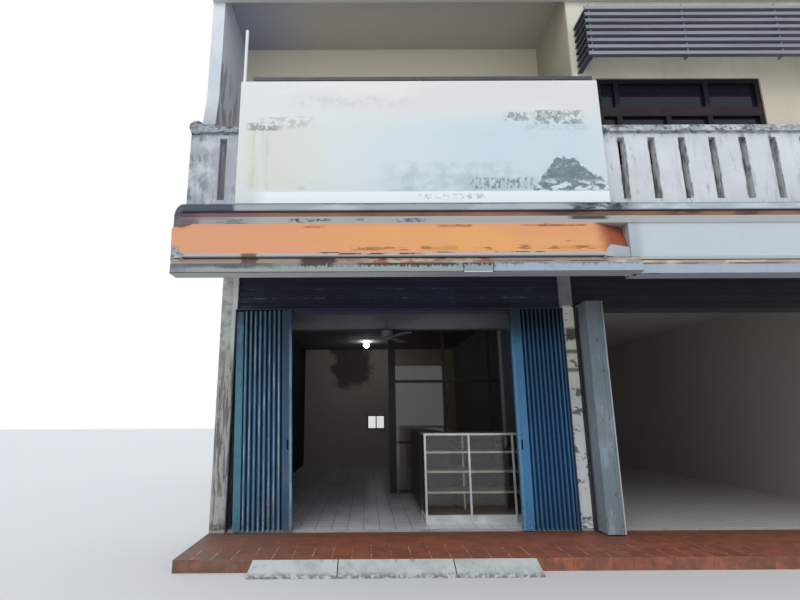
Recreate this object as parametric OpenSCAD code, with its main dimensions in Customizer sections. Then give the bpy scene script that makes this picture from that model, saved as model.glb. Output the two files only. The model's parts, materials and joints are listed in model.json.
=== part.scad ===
// Two-bay corner shop building with a battered canopy skirt, slotted balcony
// parapet, folding steel gates and a louvred sunshade.
// Millimetres. X runs along the street front, the street is on the -Y side,
// Z is up from the pavement. X = 0 is the middle of the party wall and
// Y = 0 is the plane of the ground-floor door openings.

/* [Plan] */
// Distance between wall centres of one bay
bay_w = 4500; // [3600:50:6000]
// Thickness of brick walls with plaster
wall_t = 150; // [120:10:250]
// Depth of the building from the door plane to the inside of the rear wall
shop_d = 8400; // [5000:100:12000]
// Front-to-back size of the columns between the openings
column_d = 240; // [150:10:400]
// Width of the outer columns beside the openings
column_w = 210; // [160:10:400]
// Reach of the party column to the left of its wall centre
party_l = 45; // [40:5:200]
// Reach of the party column to the right of its wall centre
party_r = 125; // [60:5:200]

/* [Levels] */
// Height of the shop floor above the ground
floor_h = 150; // [120:10:300]
// Height of the tiled terrace in front of the doors
terrace_h = 120; // [80:10:250]
// Terrace depth from the door plane to the riser
terrace_d = 1200; // [900:20:1600]
// Ceiling level of the ground floor
ceiling_z = 3400; // [3200:50:4000]
// Thickness of the upper floor slab
slab_t = 150; // [120:10:250]
// Height from the upper floor to the upper ceiling
upper_h = 3335; // [2900:5:4200]
// Thickness of the roof slab
roof_t = 150; // [120:10:250]
// Height of the upstand round the roof
roof_kerb_h = 220; // [100:10:600]
// Reach of the front roof edge below the upper ceiling
edge_drop = 212; // [150:1:900]

/* [Ramp] */
// Length of the cast ramp along the street
ramp_w = 2816; // [1500:2:4000]
// Reach of the ramp in front of the riser
ramp_d = 205; // [150:5:600]
// Middle of the ramp measured from the middle of the party wall
ramp_x = -2372; // [-3500:2:-1500]
// Width of the open joints between the cast lengths
ramp_joint = 12; // [6:1:25]

/* [Doors] */
// Top of the folding gates above the ground
gate_top = 2890; // [2400:10:3200]
// Width of the folded gate pack on one side
gate_w = 720; // [500:10:1100]
// Number of ribs in the left folded pack
gate_ribs = 8; // [3:1:12]
// Width of the flat leaf at the wall side of the left pack
lead_leaf_w = 98; // [60:2:160]
// Width of the flat end leaf
end_leaf_w = 128; // [80:2:200]
// Depth of the folded ribs
rib_d = 64; // [30:2:120]
// Sheet thickness of the ribs
sheet_t = 6; // [4:1:12]
// Number of lapped boards in the header
header_boards = 5; // [3:1:8]
// How far the left pack hangs out of plumb at its foot
gate_lean = 76; // [0:2:120]
// Width of the folded packs of the right bay
side_pack_w = 220; // [150:5:400]
// Reach of those packs in front of the door plane
side_pack_d = 310; // [150:5:450]
// Rise of those packs above the head of the opening
side_pack_rise = 38; // [0:2:80]
// Gap between those packs and the columns
side_pack_gap = 35; // [20:5:100]

/* [Canopy] */
// Projection of the canopy lip in front of the door plane
canopy_d = 1930; // [1500:10:2600]
// Drop from the ceiling level to the underside of the canopy fascia
canopy_drop = 527; // [400:1:700]
// Height of the canopy fascia with its painted band
fascia_h = 157; // [100:1:260]
// Height of the lip under the skirt
lip_h = 32; // [15:1:60]
// Height of the battered skirt
skirt_h = 356; // [200:2:600]
// Set-back of the skirt at its top
skirt_lean = 130; // [40:5:300]
// Width of the splayed left end at the foot of the skirt
splay_l = 148; // [100:2:300]
// Depth of the splayed left end at the foot of the skirt
splay_dl = 60; // [30:5:150]
// How many times as wide and deep the left end is at the top of the skirt
splay_flare = 1.63; // [1:0.01:2]
// Width of the splayed right end of the skirt
splay_r = 345; // [100:5:500]
// Depth of the splayed right end of the skirt
splay_d = 150; // [60:5:300]
// Rise of the skirt edge at its splayed ends
shoulder_h = 98; // [40:2:160]
// Run of the rounded rise along the skirt edge
shoulder_w = 118; // [60:2:148]
// Height of the two mouldings above the skirt
band_h = 78; // [40:2:140]
// Height of the recessed strip between the mouldings
strip_h = 66; // [30:2:120]
// Depth of the recessed strip
strip_d = 25; // [10:1:60]

/* [Balcony] */
// Front of the parapet from the door plane
parapet_d = 1450; // [1100:10:2000]
// Thickness of the parapet
parapet_t = 100; // [70:5:180]
// Height of the parapet above the balcony floor with its rail
parapet_h = 1174; // [900:2:1400]
// Height of the rail on the parapet
rail_h = 80; // [40:2:140]
// Width of one upright slot
slot_w = 80; // [50:2:140]
// Height of one upright slot
slot_h = 745; // [400:5:900]
// Height of the solid foot under the slots
foot_h = 282; // [150:2:500]
// Distance between slot centres
slot_pitch = 346; // [220:2:600]
// Number of slots along one half of the parapet
slot_n = 13; // [5:1:18]
// Height of the flat plaster between the slots and the rail
head_gap = 67; // [20:1:150]

/* [Upper front] */
// Front of the upper walls from the door plane
upper_d = 1140; // [700:10:1500]
// Width of the upper door set
door_set_w = 2027; // [1400:1:3000]
// Height of the upper door set
door_set_h = 2010; // [1900:5:2500]
// Height of the transom above the balcony floor
transom_h = 1560; // [1300:10:1900]
// Height of the sill under the right bay's window set
sill_h = 850; // [600:10:1000]
// Distance from the party wall face to the upper door set
door_set_x = 130; // [100:5:1000]
// Face width of door and window timber
timber_w = 60; // [40:2:110]
// Depth of door and window timber
timber_d = 90; // [60:5:140]
// Thickness of window and partition glass
glass_t = 8; // [6:1:14]

/* [Sunshade] */
// Projection of the louvred sunshade from the upper wall
shade_d = 360; // [200:10:700]
// Number of louvre slats
shade_n = 8; // [4:1:16]
// Distance between slats
shade_pitch = 89; // [60:1:160]
// Height of one slat
slat_h = 62; // [30:1:110]
// Slat thickness
slat_t = 14; // [8:1:30]
// Depth of the foot returned under each slat
slat_foot = 58; // [20:1:90]
// Depth of the flat posts behind the slats
shade_post = 48; // [20:1:80]
// Bottom of the sunshade above the balcony floor
shade_z = 2067; // [2010:1:2600]

/* [Sign] */
// Length of the blank sign board
sign_w = 4076; // [2000:4:4400]
// Height of the blank sign board
sign_h = 1494; // [700:2:2000]
// Thickness of the blank sign board
sign_t = 26; // [12:1:60]
// Gap between the sign bottom and the cornice top
sign_gap = 118; // [60:2:300]
// Diameter of the steel tubes behind the sign
tube_d = 36; // [24:2:80]
// Rise of the standing tube above the sign
tube_rise = 710; // [200:10:1200]

/* [Shop fittings] */
// Distance of the glazed partition behind the door plane
partition_y = 3000; // [1800:50:6000]
// Height of the glazed partition above the floor
partition_h = 3000; // [2000:50:3100]
// Distance of the glass counter behind the door plane
counter_y = 335; // [250:5:1500]
// Length of the glass counter
counter_w = 1770; // [900:10:2400]
// Depth of the glass counter
counter_d = 500; // [350:10:700]
// Height of the glass counter
counter_h = 1120; // [800:10:1300]
// Length of the closed side run of the counter
side_run_d = 1650; // [800:50:2500]
// Width of the closed side run of the counter
side_run_w = 420; // [300:10:700]
// Width of the square aluminium bars
bar = 26; // [15:1:45]

/* [Ceiling fan and lamp] */
// Reach of one fan blade from the middle of the hub
fan_r = 560; // [400:10:700]
// Width of one fan blade
blade_w = 120; // [80:5:180]
// Height of the fan blades above the shop floor
fan_z = 2450; // [2350:10:2550]
// Distance of the fan behind the door plane
fan_y = 620; // [560:10:630]
// Diameter of the motor housing of the fan
motor_d = 180; // [140:5:200]
// Diameter of the round ceiling lamp
lamp_d = 150; // [100:5:300]
// Distance of the lamp behind the door plane
lamp_y = 6700; // [4000:50:8000]

/* [Hidden] */
e = 0.01;
half = bay_w + wall_t/2;
clear = bay_w - wall_t;
inner = bay_w - wall_t/2;
rear_in = shop_d;
rear_out = shop_d + wall_t;
upper_z = ceiling_z + slab_t;
upper_top = upper_z + upper_h;
canopy_z = ceiling_z - canopy_drop;
open_l = -half + column_w;
open_r = -party_l;
gate_z0 = floor_h - 18;
gate_y = -75;
frame_b = 40;
guide_t = 12;
header_y = 30;
header_p = (ceiling_z - gate_top)/header_boards;
fascia_y = -(canopy_d - 30);
fascia_t = 175;
skirt_z = canopy_z + fascia_h + lip_h;
skirt_top = skirt_z + skirt_h;
cornice_y = -(canopy_d - skirt_lean);
cornice_top = skirt_top + 2*band_h + strip_h;
crease_l = -half + 145;
crease_r = -310;
fascia_l = crease_l - splay_l + 17;
cornice_end = half + 70;
skirt_back = -parapet_d + 1;
rail_out = 30;
rail_z = upper_z + parapet_h - rail_h;
slot_z = upper_z + foot_h;
parapet_half = half + 40;
slot_first = -(slot_n - 0.5)*slot_pitch + 79;
beam_y = 730;
beam_t = 160;
beam_z = 2750;
win_w = 506;
win_h = 395;
win_z = 1120;
win_xl = -2622;
uw_w = 1200;
uw_h = 1100;
uw_sill = 950;
uw_z = upper_z + uw_sill;
lock_z = 930;
lock_h = 120;
wall_foot = 720;
sign_in = 515;
sign_l = -half + sign_in;
sign_z = cornice_top + sign_gap;
sign_y = -(parapet_d + 80);
edge_z = upper_top - edge_drop;
edge_t = 60;
edge_y = -(upper_d + edge_t);
roof_top = upper_top + roof_t;
shade_y = -(upper_d + shade_d);
shade_x0 = -10;
shade_x1 = half + 10;
partition_l = -2100;
partition_end = 130;
fan_in = 100;
fan_x = -(bay_w/2 + fan_in);
lamp_in = 390;
lamp_x = -(bay_w/2 + lamp_in);
counter_l = -1885;
blade_lean = 22;

module box(x0, x1, y0, y1, z0, z1) {
  translate([x0, y0, z0]) cube([x1 - x0, y1 - y0, z1 - z0]);
}
// Extrude a Y-Z profile along X
module run_x(x0, x1) {
  translate([x0, 0, 0]) rotate([90, 0, 90]) linear_extrude(x1 - x0) children();
}
// Extrude an X-Z outline from y0 to y1
module run_y(y0, y1) {
  translate([0, y1, 0]) rotate([90, 0, 0]) linear_extrude(y1 - y0) children();
}

// Concrete ground slab with the shop floor on it
module ground_slab() color("#d5d9db")
  box(-half, half, 0, rear_out, 0, floor_h);

// Tiled terrace in front of both bays
module terrace_step() color("#9c4a30")
  box(-half, half, -terrace_d, 0, 0, terrace_h);

// Cast wedge in three lengths with splayed ends and open joints
module entry_ramp() color("#c5cbc9") {
  third = ramp_w/3;
  nose = 8;
  difference() {
    intersection() {
      run_x(ramp_x - ramp_w/2 - 40, ramp_x + ramp_w/2 + 40)
        polygon([[-terrace_d - ramp_d, 0], [-terrace_d, 0],
          [-terrace_d, terrace_h - 3], [-terrace_d - ramp_d, nose]]);
      linear_extrude(terrace_h) polygon([
        [ramp_x - ramp_w/2 - 25, -terrace_d - ramp_d],
        [ramp_x + ramp_w/2 + 15, -terrace_d - ramp_d],
        [ramp_x + ramp_w/2, -terrace_d], [ramp_x - ramp_w/2, -terrace_d]]);
    }
    for (s = [-1, 1])
      run_x(ramp_x + 12 + s*third*0.61 - ramp_joint/2,
            ramp_x + 12 + s*third*0.61 + ramp_joint/2)
        polygon([[-terrace_d - ramp_d - 1, 4], [-terrace_d + 1, 40],
          [-terrace_d + 1, terrace_h + 9], [-terrace_d - ramp_d - 1, 60]]);
  }
}

// Ground-floor side wall between a column and the rear wall
module side_wall(x) box(x - wall_t/2, x + wall_t/2, column_d, rear_in, floor_h, ceiling_z);
module wall_left_ground() color("#c9c7bd") side_wall(-bay_w);
module wall_party_ground() color("#c9c7bd") side_wall(0);
module wall_right_ground() color("#c9c7bd") side_wall(bay_w);

// Front columns
module column(x0, x1) box(x0, x1, 0, column_d, floor_h, ceiling_z);
module column_left() color("#b9b9b2") column(-half, -half + column_w);
module column_party() color("#c4c1ac") column(-party_l, party_r);
module column_right() color("#b9b9b2") column(half - column_w, half);

// Rear wall over both storeys with window openings
function rear_wins() = concat(
  [for (s = [0, 1]) [s == 0 ? win_xl : -win_xl - win_w, win_z, win_w, win_h]],
  [for (s = [-1, 1]) [s*bay_w/2 - uw_w/2, uw_z, uw_w, uw_h]]);
module rear_wall() color("#c9c7bd") difference() {
  box(-half, half, rear_in, rear_out, floor_h, upper_top);
  for (w = rear_wins())
    box(w[0], w[0] + w[2], rear_in - 1, rear_out + 1, w[1], w[1] + w[3]);
}
module rear_frames() color("#4a3a34")
  for (w = rear_wins()) difference() {
    box(w[0], w[0] + w[2], rear_in + 30, rear_out - 30, w[1], w[1] + w[3]);
    for (s = [0, 1]) {
      p = (w[2] - 3*timber_w/2)/2;
      box(w[0] + timber_w/2 + s*(p + timber_w/2), w[0] + timber_w/2 + s*(p + timber_w/2) + p,
        rear_in, rear_out, w[1] + timber_w/2, w[1] + w[3] - timber_w/2);
    }
  }
module rear_panes()
  for (w = rear_wins()) for (s = [0, 1]) {
    p = (w[2] - 3*timber_w/2)/2;
    ym = (rear_in + rear_out)/2;
    box(w[0] + timber_w/2 + s*(p + timber_w/2), w[0] + timber_w/2 + s*(p + timber_w/2) + p,
      ym - glass_t/2, ym + glass_t/2, w[1] + timber_w/2, w[1] + w[3] - timber_w/2);
  }

// Header of lapped boards over a gate opening
module header(x0, x1)
  run_x(x0, x1) polygon(concat(
    [[header_y + 60, gate_top]],
    [for (i = [0:header_boards - 1]) each [
      [header_y, gate_top + i*header_p],
      [header_y + 26, gate_top + (i + 1)*header_p - 8],
      [header_y + 26, gate_top + (i + 1)*header_p]]],
    [[header_y + 60, ceiling_z]]));
module headers() color("#1f232c") {
  header(open_l, open_r);
  header(party_r, -open_l);
}

// Steel frame of a gate opening: two guides and a head rail behind the packs;
// lid is the thickness of the flange over the packs
module gate_frame(x0, x1, lid) difference() {
  rear = gate_y + frame_b + rib_d;
  box(x0, x1, gate_y, rear, gate_z0, gate_top);
  box(x0 + guide_t, x1 - guide_t, gate_y - 1, rear + 1, gate_z0 - 1, gate_top - 60);
  box(x0 + guide_t, x1 - guide_t, gate_y - 1, rear - guide_t, gate_z0, gate_top - lid);
}
module gate_frames() color("#2a3038") {
  gate_frame(open_l, open_r, guide_t);
  gate_frame(party_r, -open_l, -1);
}

// Folded pack: a flat leaf at the wall side, n ribs of pitch p and ridge half
// width a, and a flat end leaf
function rib_front(n, p, a, x0, d) = [for (i = [0:n - 1]) each [
  [x0 + i*p + p/2 - a, 0], [x0 + i*p + p/2 + a, 0],
  [x0 + (i + 1)*p - a*0.7, d], [x0 + (i + 1)*p + (i < n - 1 ? a*0.7 : 0), d]]];
function rib_back(n, p, a, x0, d, t) = [for (i = [n - 1:-1:0]) each [
  [x0 + (i + 1)*p + (i < n - 1 ? a*0.7 + t : 0), d + t], [x0 + (i + 1)*p - a*0.7 - t, d + t],
  [x0 + i*p + p/2 + a - t, t], [x0 + i*p + p/2 - a + t, t]]];
module pack(w, n, lead, leaf, z1) {
  p = (w - leaf - lead)/n;
  a = p*0.19;
  g = a*0.7;
  y1 = rib_d + sheet_t;
  z0 = gate_z0 + 6;
  y0 = gate_y + 14;
  edge_w = leaf*0.23;
  difference() {
    union() {
      translate([0, y0, z0]) linear_extrude(z1 - z0)
        polygon(concat([[0, 8], [lead - g, 8], [lead - g, rib_d], [lead + g, rib_d]],
          rib_front(n, p, a, lead, rib_d), [[w - leaf, rib_d], [w - leaf, y1]],
          rib_back(n, p, a, lead, rib_d, sheet_t), [[lead + g + sheet_t, y1],
          [lead - g - sheet_t, y1], [lead - g - sheet_t, 8 + sheet_t], [sheet_t, 8 + sheet_t],
          [sheet_t, y1], [0, y1]]));
      // Flat end leaf with returned edges
      translate([w - leaf, y0, z0]) linear_extrude(z1 - z0) polygon([
        [-e, rib_d], [6, rib_d], [6, 10], [10, 4], [leaf - edge_w - 4, 4], [leaf - edge_w, -6],
        [leaf, -6], [leaf, rib_d], [leaf - sheet_t, rib_d], [leaf - sheet_t, 10],
        [12, 10], [12, y1], [-e, y1]]);
      // Flat link bars behind the ribs
      for (k = [0.16, 0.5, 0.84])
        box(0, w - leaf + 9, y0 + y1 - 1, y0 + y1 + 8, z0 + (z1 - z0)*k - 16,
          z0 + (z1 - z0)*k + 16);
    }
    // Lock slot in the end leaf
    box(w - 60, w - 40, y0 - 20, y0 + rib_d + 20, floor_h + lock_z, floor_h + lock_z + lock_h);
  }
}
// The left pack hangs out of plumb from its upper corner
module gate_left() color("#4a7fae") {
  lean_a = atan(gate_lean/(gate_top - gate_z0));
  top = gate_top - 14 - gate_w*sin(lean_a);
  translate([open_l + guide_t + 1, 0, top]) rotate([0, -lean_a, 0]) translate([0, 0, -top])
    pack(gate_w, gate_ribs, lead_leaf_w, end_leaf_w, top);
}
module gate_right() color("#2f5d8c")
  translate([open_r - guide_t - 2, 0, 0]) mirror([1, 0, 0])
    pack(gate_w - 35, gate_ribs + 1, lead_leaf_w*0.3, end_leaf_w + 20, gate_top - 14);
// Folded packs of the right bay, standing out from the door plane: a front
// leaf with its returned sides and the next leaves folded behind it
module side_pack(x0) {
  rear = gate_y + frame_b + rib_d - guide_t;
  top = gate_top + side_pack_rise;
  difference() {
    box(x0, x0 + side_pack_w, -side_pack_d, rear, gate_z0 + 6, top);
    box(x0 + 2*sheet_t, x0 + side_pack_w - 2*sheet_t, -side_pack_d + 2*sheet_t, rear + 1,
      gate_z0, top + 1);
    for (k = [0.72, 0.86])
      box(x0 + side_pack_w*k - 3, x0 + side_pack_w*k + 3, -side_pack_d - 1,
        -side_pack_d + sheet_t, gate_z0, top + 1);
    for (k = [0.3, 0.55, 0.8], x = [x0 - 1, x0 + side_pack_w - sheet_t + 1])
      box(x, x + sheet_t, -side_pack_d*k - 3, -side_pack_d*k + 3, gate_z0, top + 1);
  }
  for (k = [0.25, 0.5, 0.75])
    box(x0 + sheet_t + 1, x0 + side_pack_w - sheet_t - 1, -side_pack_d*k - sheet_t/2,
      -side_pack_d*k + sheet_t/2, gate_z0 + 6, top);
}
module side_packs() color("#5f6b72") {
  side_pack(party_r + side_pack_gap);
  side_pack(-open_l - side_pack_gap - side_pack_w);
}

// Downstand ceiling beam inside the left shop
module ceiling_beam() color("#a9a59a")
  box(-inner, -wall_t/2, beam_y, beam_y + beam_t, beam_z, ceiling_z);

// Ceiling fan: bell, rod, motor housing and three blades
module ceiling_fan() color("#5a5f66") translate([fan_x, fan_y, 0]) {
  z = floor_h + fan_z;
  translate([0, 0, ceiling_z - 60]) cylinder(h = 60, d1 = 60, d2 = 110, $fn = 32);
  translate([0, 0, z + 130]) cylinder(h = ceiling_z - z - 150, d = 26, $fn = 16);
  translate([0, 0, z - 20]) cylinder(h = 30, d1 = motor_d*0.6, d2 = motor_d, $fn = 32);
  translate([0, 0, z + 10]) cylinder(h = 90, d = motor_d, $fn = 32);
  translate([0, 0, z + 100]) cylinder(h = 32, d1 = motor_d, d2 = motor_d*0.4, $fn = 32);
  for (a = [60, 180, 300]) rotate([0, 0, a])
    box(motor_d*0.3, fan_r, -blade_w/2, blade_w/2, z - 4, z + 6);
}
// Round ceiling lamp on a flat holder
module ceiling_lamp() color("#f4f6f2") translate([lamp_x, lamp_y, 0]) {
  translate([0, 0, ceiling_z - 24]) cylinder(h = 24, d = lamp_d*0.7, $fn = 32);
  translate([0, 0, ceiling_z - 14 - lamp_d/2]) sphere(d = lamp_d, $fn = 32);
}

// Glazed partition across the right part of the left shop
function post_at(i) = partition_l + [0, 0.45, 0.87, 1][i]*(-wall_t/2 - partition_l);
part_rails = [partition_h*0.283, partition_h*0.65];
light_rows = [[2*bar, part_rails[0]], [part_rails[0] + 2*bar, part_rails[1]],
  [part_rails[1] + 2*bar, partition_h - 2*bar]];
module lights(y0, y1)
  for (i = [0:2], r = light_rows)
    box(post_at(i) + (i == 0 ? 0 : bar), post_at(i + 1) - (i == 2 ? 60 : bar), y0, y1,
      floor_h + r[0], floor_h + r[1]);
module partition_frame() color("#6b6352") difference() {
  box(partition_l - partition_end, -wall_t/2, partition_y, partition_y + 60, floor_h,
    floor_h + partition_h);
  lights(partition_y - 1, partition_y + 61);
}
module partition_glass() color("#3b4148") lights(partition_y + 26, partition_y + 26 + glass_t);

// Display counter: eight aluminium posts, framed shelves on a low foot, and
// glass to the front and the sides
cx1 = counter_l + counter_w;
cy1 = counter_y + counter_d;
counter_top = floor_h + counter_h;
post_x = [for (i = [0:3]) counter_l + i*(counter_w - bar)/3];
module counter_posts() color("#c9cdc9")
  for (x = post_x, y = [counter_y, cy1 - bar])
    box(x, x + bar, y, y + bar, floor_h, counter_top - bar);
module counter_shelves() color("#b9c3c2") {
  for (k = [0.32, 0.55, 0.77])
    box(counter_l + 6, cx1 - 6, counter_y + bar, cy1 - bar, floor_h + counter_h*k,
      floor_h + counter_h*k + bar);
  box(counter_l + 6, cx1 - 6, counter_y + bar, cy1 - bar, floor_h, floor_h + counter_h*0.065 + bar);
  box(counter_l, cx1, counter_y, cy1, counter_top - bar, counter_top);
}
module counter_glass() color("#9fb4b8") {
  z0 = floor_h + counter_h*0.065 + bar;
  for (i = [0:2])
    box(post_x[i] + bar, post_x[i + 1], counter_y + 10, counter_y + 10 + glass_t, z0,
      counter_top - bar);
  box(cx1 - 6, cx1, counter_y + bar, cy1 - bar, z0, counter_top - bar);
}
// Closed side run behind the counter with its dark end panel and a set-back foot
module counter_side_run() color("#2c2622") {
  box(counter_l, counter_l + 6, counter_y + bar, cy1 - bar, floor_h + counter_h*0.065 + bar,
    counter_top - bar);
  difference() {
    box(counter_l, counter_l + side_run_w, cy1, cy1 + side_run_d, floor_h, counter_top - bar/2);
    box(counter_l - 1, counter_l + 30, cy1 - 1, cy1 + side_run_d + 1, floor_h - 1, floor_h + 70);
    for (k = [0.33, 0.66])
      box(counter_l - 1, counter_l + 5, cy1 + side_run_d*k - 3, cy1 + side_run_d*k + 3,
        floor_h, counter_top);
  }
}

// Upper floor slab reaching out as the balcony floor
module upper_floor_slab() color("#b7b4ab")
  box(-half, half, -parapet_d, rear_in, ceiling_z, upper_z);

// Cornice of two mouldings with a recessed strip between them
module cornice() color("#b4b7be") intersection() {
  run_x(-cornice_end - 10, cornice_end + 10) polygon([
    [-parapet_d, skirt_top], [cornice_y, skirt_top],
    [cornice_y, skirt_top + band_h - 8], [cornice_y + 6, skirt_top + band_h],
    [cornice_y + strip_d, skirt_top + band_h],
    [cornice_y + strip_d, skirt_top + band_h + strip_h],
    [cornice_y + 4, skirt_top + band_h + strip_h],
    [cornice_y - 4, skirt_top + band_h + strip_h + 8],
    [cornice_y - 4, cornice_top - 14], [cornice_y + 10, cornice_top],
    [-parapet_d, cornice_top]]);
  // Splayed ends
  linear_extrude(cornice_top + 10) polygon([
    [-cornice_end, -parapet_d], [-cornice_end, cornice_y + 120], [-half + 60, cornice_y - 6],
    [half - 60, cornice_y - 6], [cornice_end, cornice_y + 120], [cornice_end, -parapet_d]]);
  // Rounded upper corners
  run_y(cornice_y - 10, 0) polygon(concat([[-cornice_end, 0]],
    [for (s = [-1, 1], i = [0:5]) let (a = s < 0 ? 180 - 18*i : 90 - 18*i)
      [s*(cornice_end - band_h) + band_h*cos(a), cornice_top - band_h + band_h*sin(a)]],
    [[cornice_end, 0]]));
}

// Edge line of the skirt at a splayed end, rising in a rounded shoulder
function shoulder(w) = concat(
  [for (i = [0:6]) let (t = i/6) [t*shoulder_w, shoulder_h*(1 - cos(180*t))/2]],
  [[w + 90, shoulder_h]]);
module skirt_plan(o)
  polygon([[crease_l - splay_l, skirt_back], [crease_l - splay_l, -(canopy_d - splay_dl) + o],
    [crease_l, -canopy_d + o], [crease_r, -canopy_d + o],
    [crease_r + splay_r, -(canopy_d - splay_d) + o], [crease_r + splay_r, skirt_back]]);
module skirt_ends(z0, drop) {
  translate([crease_l, 0, z0]) mirror([1, 0, 0]) run_y(-canopy_d - 9, 0)
    polygon(concat(shoulder(splay_l), [[splay_l + 90, -drop], [0, -drop]]));
  translate([crease_r, 0, z0]) run_y(-canopy_d - 9, 0)
    polygon(concat(shoulder(splay_r), [[splay_r + 90, -drop], [0, -drop]]));
}

// Battered hollow skirt with splayed ends; k widens the left end and dl shifts
// its crease
function skirt_ring(z, y, k, dl) = [[crease_l + dl - splay_l*k, skirt_back, z],
  [crease_l + dl - splay_l*k, y + splay_dl*k, z], [crease_l + dl, y, z], [crease_r, y, z],
  [crease_r + splay_r, y + splay_d, z], [crease_r + splay_r, skirt_back, z]];
module canopy_skirt() color("#dda26b") difference() {
  polyhedron(concat(skirt_ring(skirt_z, -canopy_d, 1, 0),
      skirt_ring(skirt_top, cornice_y, splay_flare, 20)),
    [[0, 1, 2, 3, 4, 5], [11, 10, 9, 8, 7, 6], [0, 6, 7, 1], [1, 7, 8, 2], [2, 8, 9, 3],
     [3, 9, 10, 4], [4, 10, 11, 5], [5, 11, 6, 0]]);
  skirt_ends(skirt_z, 60);
  box(crease_l + 60, crease_r - 60, -canopy_d + skirt_lean + 60, -parapet_d - 90,
    skirt_z - 1, skirt_top - 80);
}

// Fascia with its thin band, the lip and the rounded shoulders under the skirt
module canopy_fascia() color("#b4b7be") {
  top = canopy_z + fascia_h;
  run_x(fascia_l, wall_t/2) polygon([
    [fascia_y + fascia_t, canopy_z], [fascia_y, canopy_z], [fascia_y, canopy_z + 96],
    [fascia_y + 6, canopy_z + 100], [fascia_y + 6, top - 12], [fascia_y + 30, top - 8],
    [fascia_y + 30, top], [fascia_y + fascia_t, top]]);
  // Lip between the creases
  run_x(crease_l, crease_r) polygon([
    [fascia_y + fascia_t, top - e], [-canopy_d + 8, top], [-canopy_d - 5, top + 6],
    [-canopy_d - 5, skirt_z - 4], [-canopy_d, skirt_z], [fascia_y + fascia_t, skirt_z]]);
  // Shoulders at both ends
  intersection() {
    skirt_ends(skirt_z, skirt_z - top + 16);
    linear_extrude(skirt_top) skirt_plan(6);
    box(-half - 200, half, -canopy_d - 9, fascia_y + fascia_t + 60, 0, skirt_top);
  }
}

// Plain plaster band over the right bay
module band_right() color("#c4c5c4")
  box(crease_r + splay_r, half, cornice_y + 12, cornice_y + 12 + fascia_t, canopy_z, skirt_top);

// Parapet foot, two slotted halves and the rail with knob ends
module parapet_base() color("#c9ccd0")
  box(-parapet_half, parapet_half, -parapet_d, -parapet_d + parapet_t, upper_z, slot_z);
module parapet_part(x0, x1, k0) difference() {
  box(x0, x1, -parapet_d, -parapet_d + parapet_t, slot_z, rail_z);
  for (k = [0:slot_n - 1])
    box(slot_first + (k0 + k)*slot_pitch - slot_w/2, slot_first + (k0 + k)*slot_pitch + slot_w/2,
      -parapet_d - 1, -parapet_d + parapet_t + 1, slot_z - 1, slot_z + slot_h);
}
part_x = slot_first + (slot_n - 0.5)*slot_pitch;
module parapet_left() color("#c9ccd0") parapet_part(-parapet_half, part_x, 0);
module parapet_right() color("#c9ccd0") parapet_part(part_x, parapet_half, slot_n);
module parapet_rail() color("#c4c7cc") {
  run_x(-parapet_half, parapet_half) polygon([
    [-parapet_d + parapet_t + rail_out, rail_z], [-parapet_d - rail_out, rail_z],
    [-parapet_d - rail_out, rail_z + rail_h - 14], [-parapet_d - rail_out + 14, rail_z + rail_h],
    [-parapet_d + parapet_t + rail_out - 14, rail_z + rail_h],
    [-parapet_d + parapet_t + rail_out, rail_z + rail_h - 14]]);
  // Scrolled ends with a raised roll
  for (s = [-1, 1]) {
    translate([s*(parapet_half - rail_h*0.8), -parapet_d + parapet_t/2, rail_z + rail_h*0.75])
      rotate([90, 0, 0])
        cylinder(h = parapet_t + 2*rail_out + 12, r = rail_h, center = true, $fn = 48);
    translate([s*(parapet_half - rail_h*2), -parapet_d + parapet_t/2, rail_z + rail_h*1.2])
      rotate([0, 90, 0]) cylinder(h = rail_h*2, r = rail_h*0.55, center = true, $fn = 32);
  }
}

// Upper side walls; the outer ones run down to the parapet in a raked foot
module upper_wall(x)
  run_x(x - wall_t/2, x + wall_t/2) polygon([
    [rear_in, upper_z], [-parapet_d + parapet_t, upper_z], [-parapet_d + parapet_t, rail_z + 20],
    [-upper_d - 95, rail_z + wall_foot*0.32], [-upper_d - 20, rail_z + wall_foot*0.78],
    [-upper_d, rail_z + wall_foot], [-upper_d, upper_top], [rear_in, upper_top]]);
module wall_left_upper() color("#c9ced6") upper_wall(-bay_w);
module wall_right_upper() color("#c9ced6") upper_wall(bay_w);
module wall_party_upper() color("#d8d0b4")
  box(-wall_t/2, wall_t/2, -upper_d, rear_in, upper_z, upper_top);

// Upper front walls with door openings: set back in the left bay, forward in
// the right bay
set_xl = -wall_t/2 - door_set_x - door_set_w;
set_xr = wall_t/2 + door_set_x;
module recess_wall() color("#cfc6a8") difference() {
  box(-inner, -wall_t/2, 0, wall_t, upper_z, upper_top);
  box(set_xl, set_xl + door_set_w, -1, wall_t + 1, upper_z - 1, upper_z + door_set_h);
}
module front_wall_right() color("#d8d0b4") difference() {
  box(wall_t/2, inner, -upper_d, -upper_d + wall_t, upper_z, upper_top);
  box(set_xr, set_xr + door_set_w, -upper_d - 1, -upper_d + wall_t + 1, upper_z + sill_h,
    upper_z + door_set_h);
}

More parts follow.
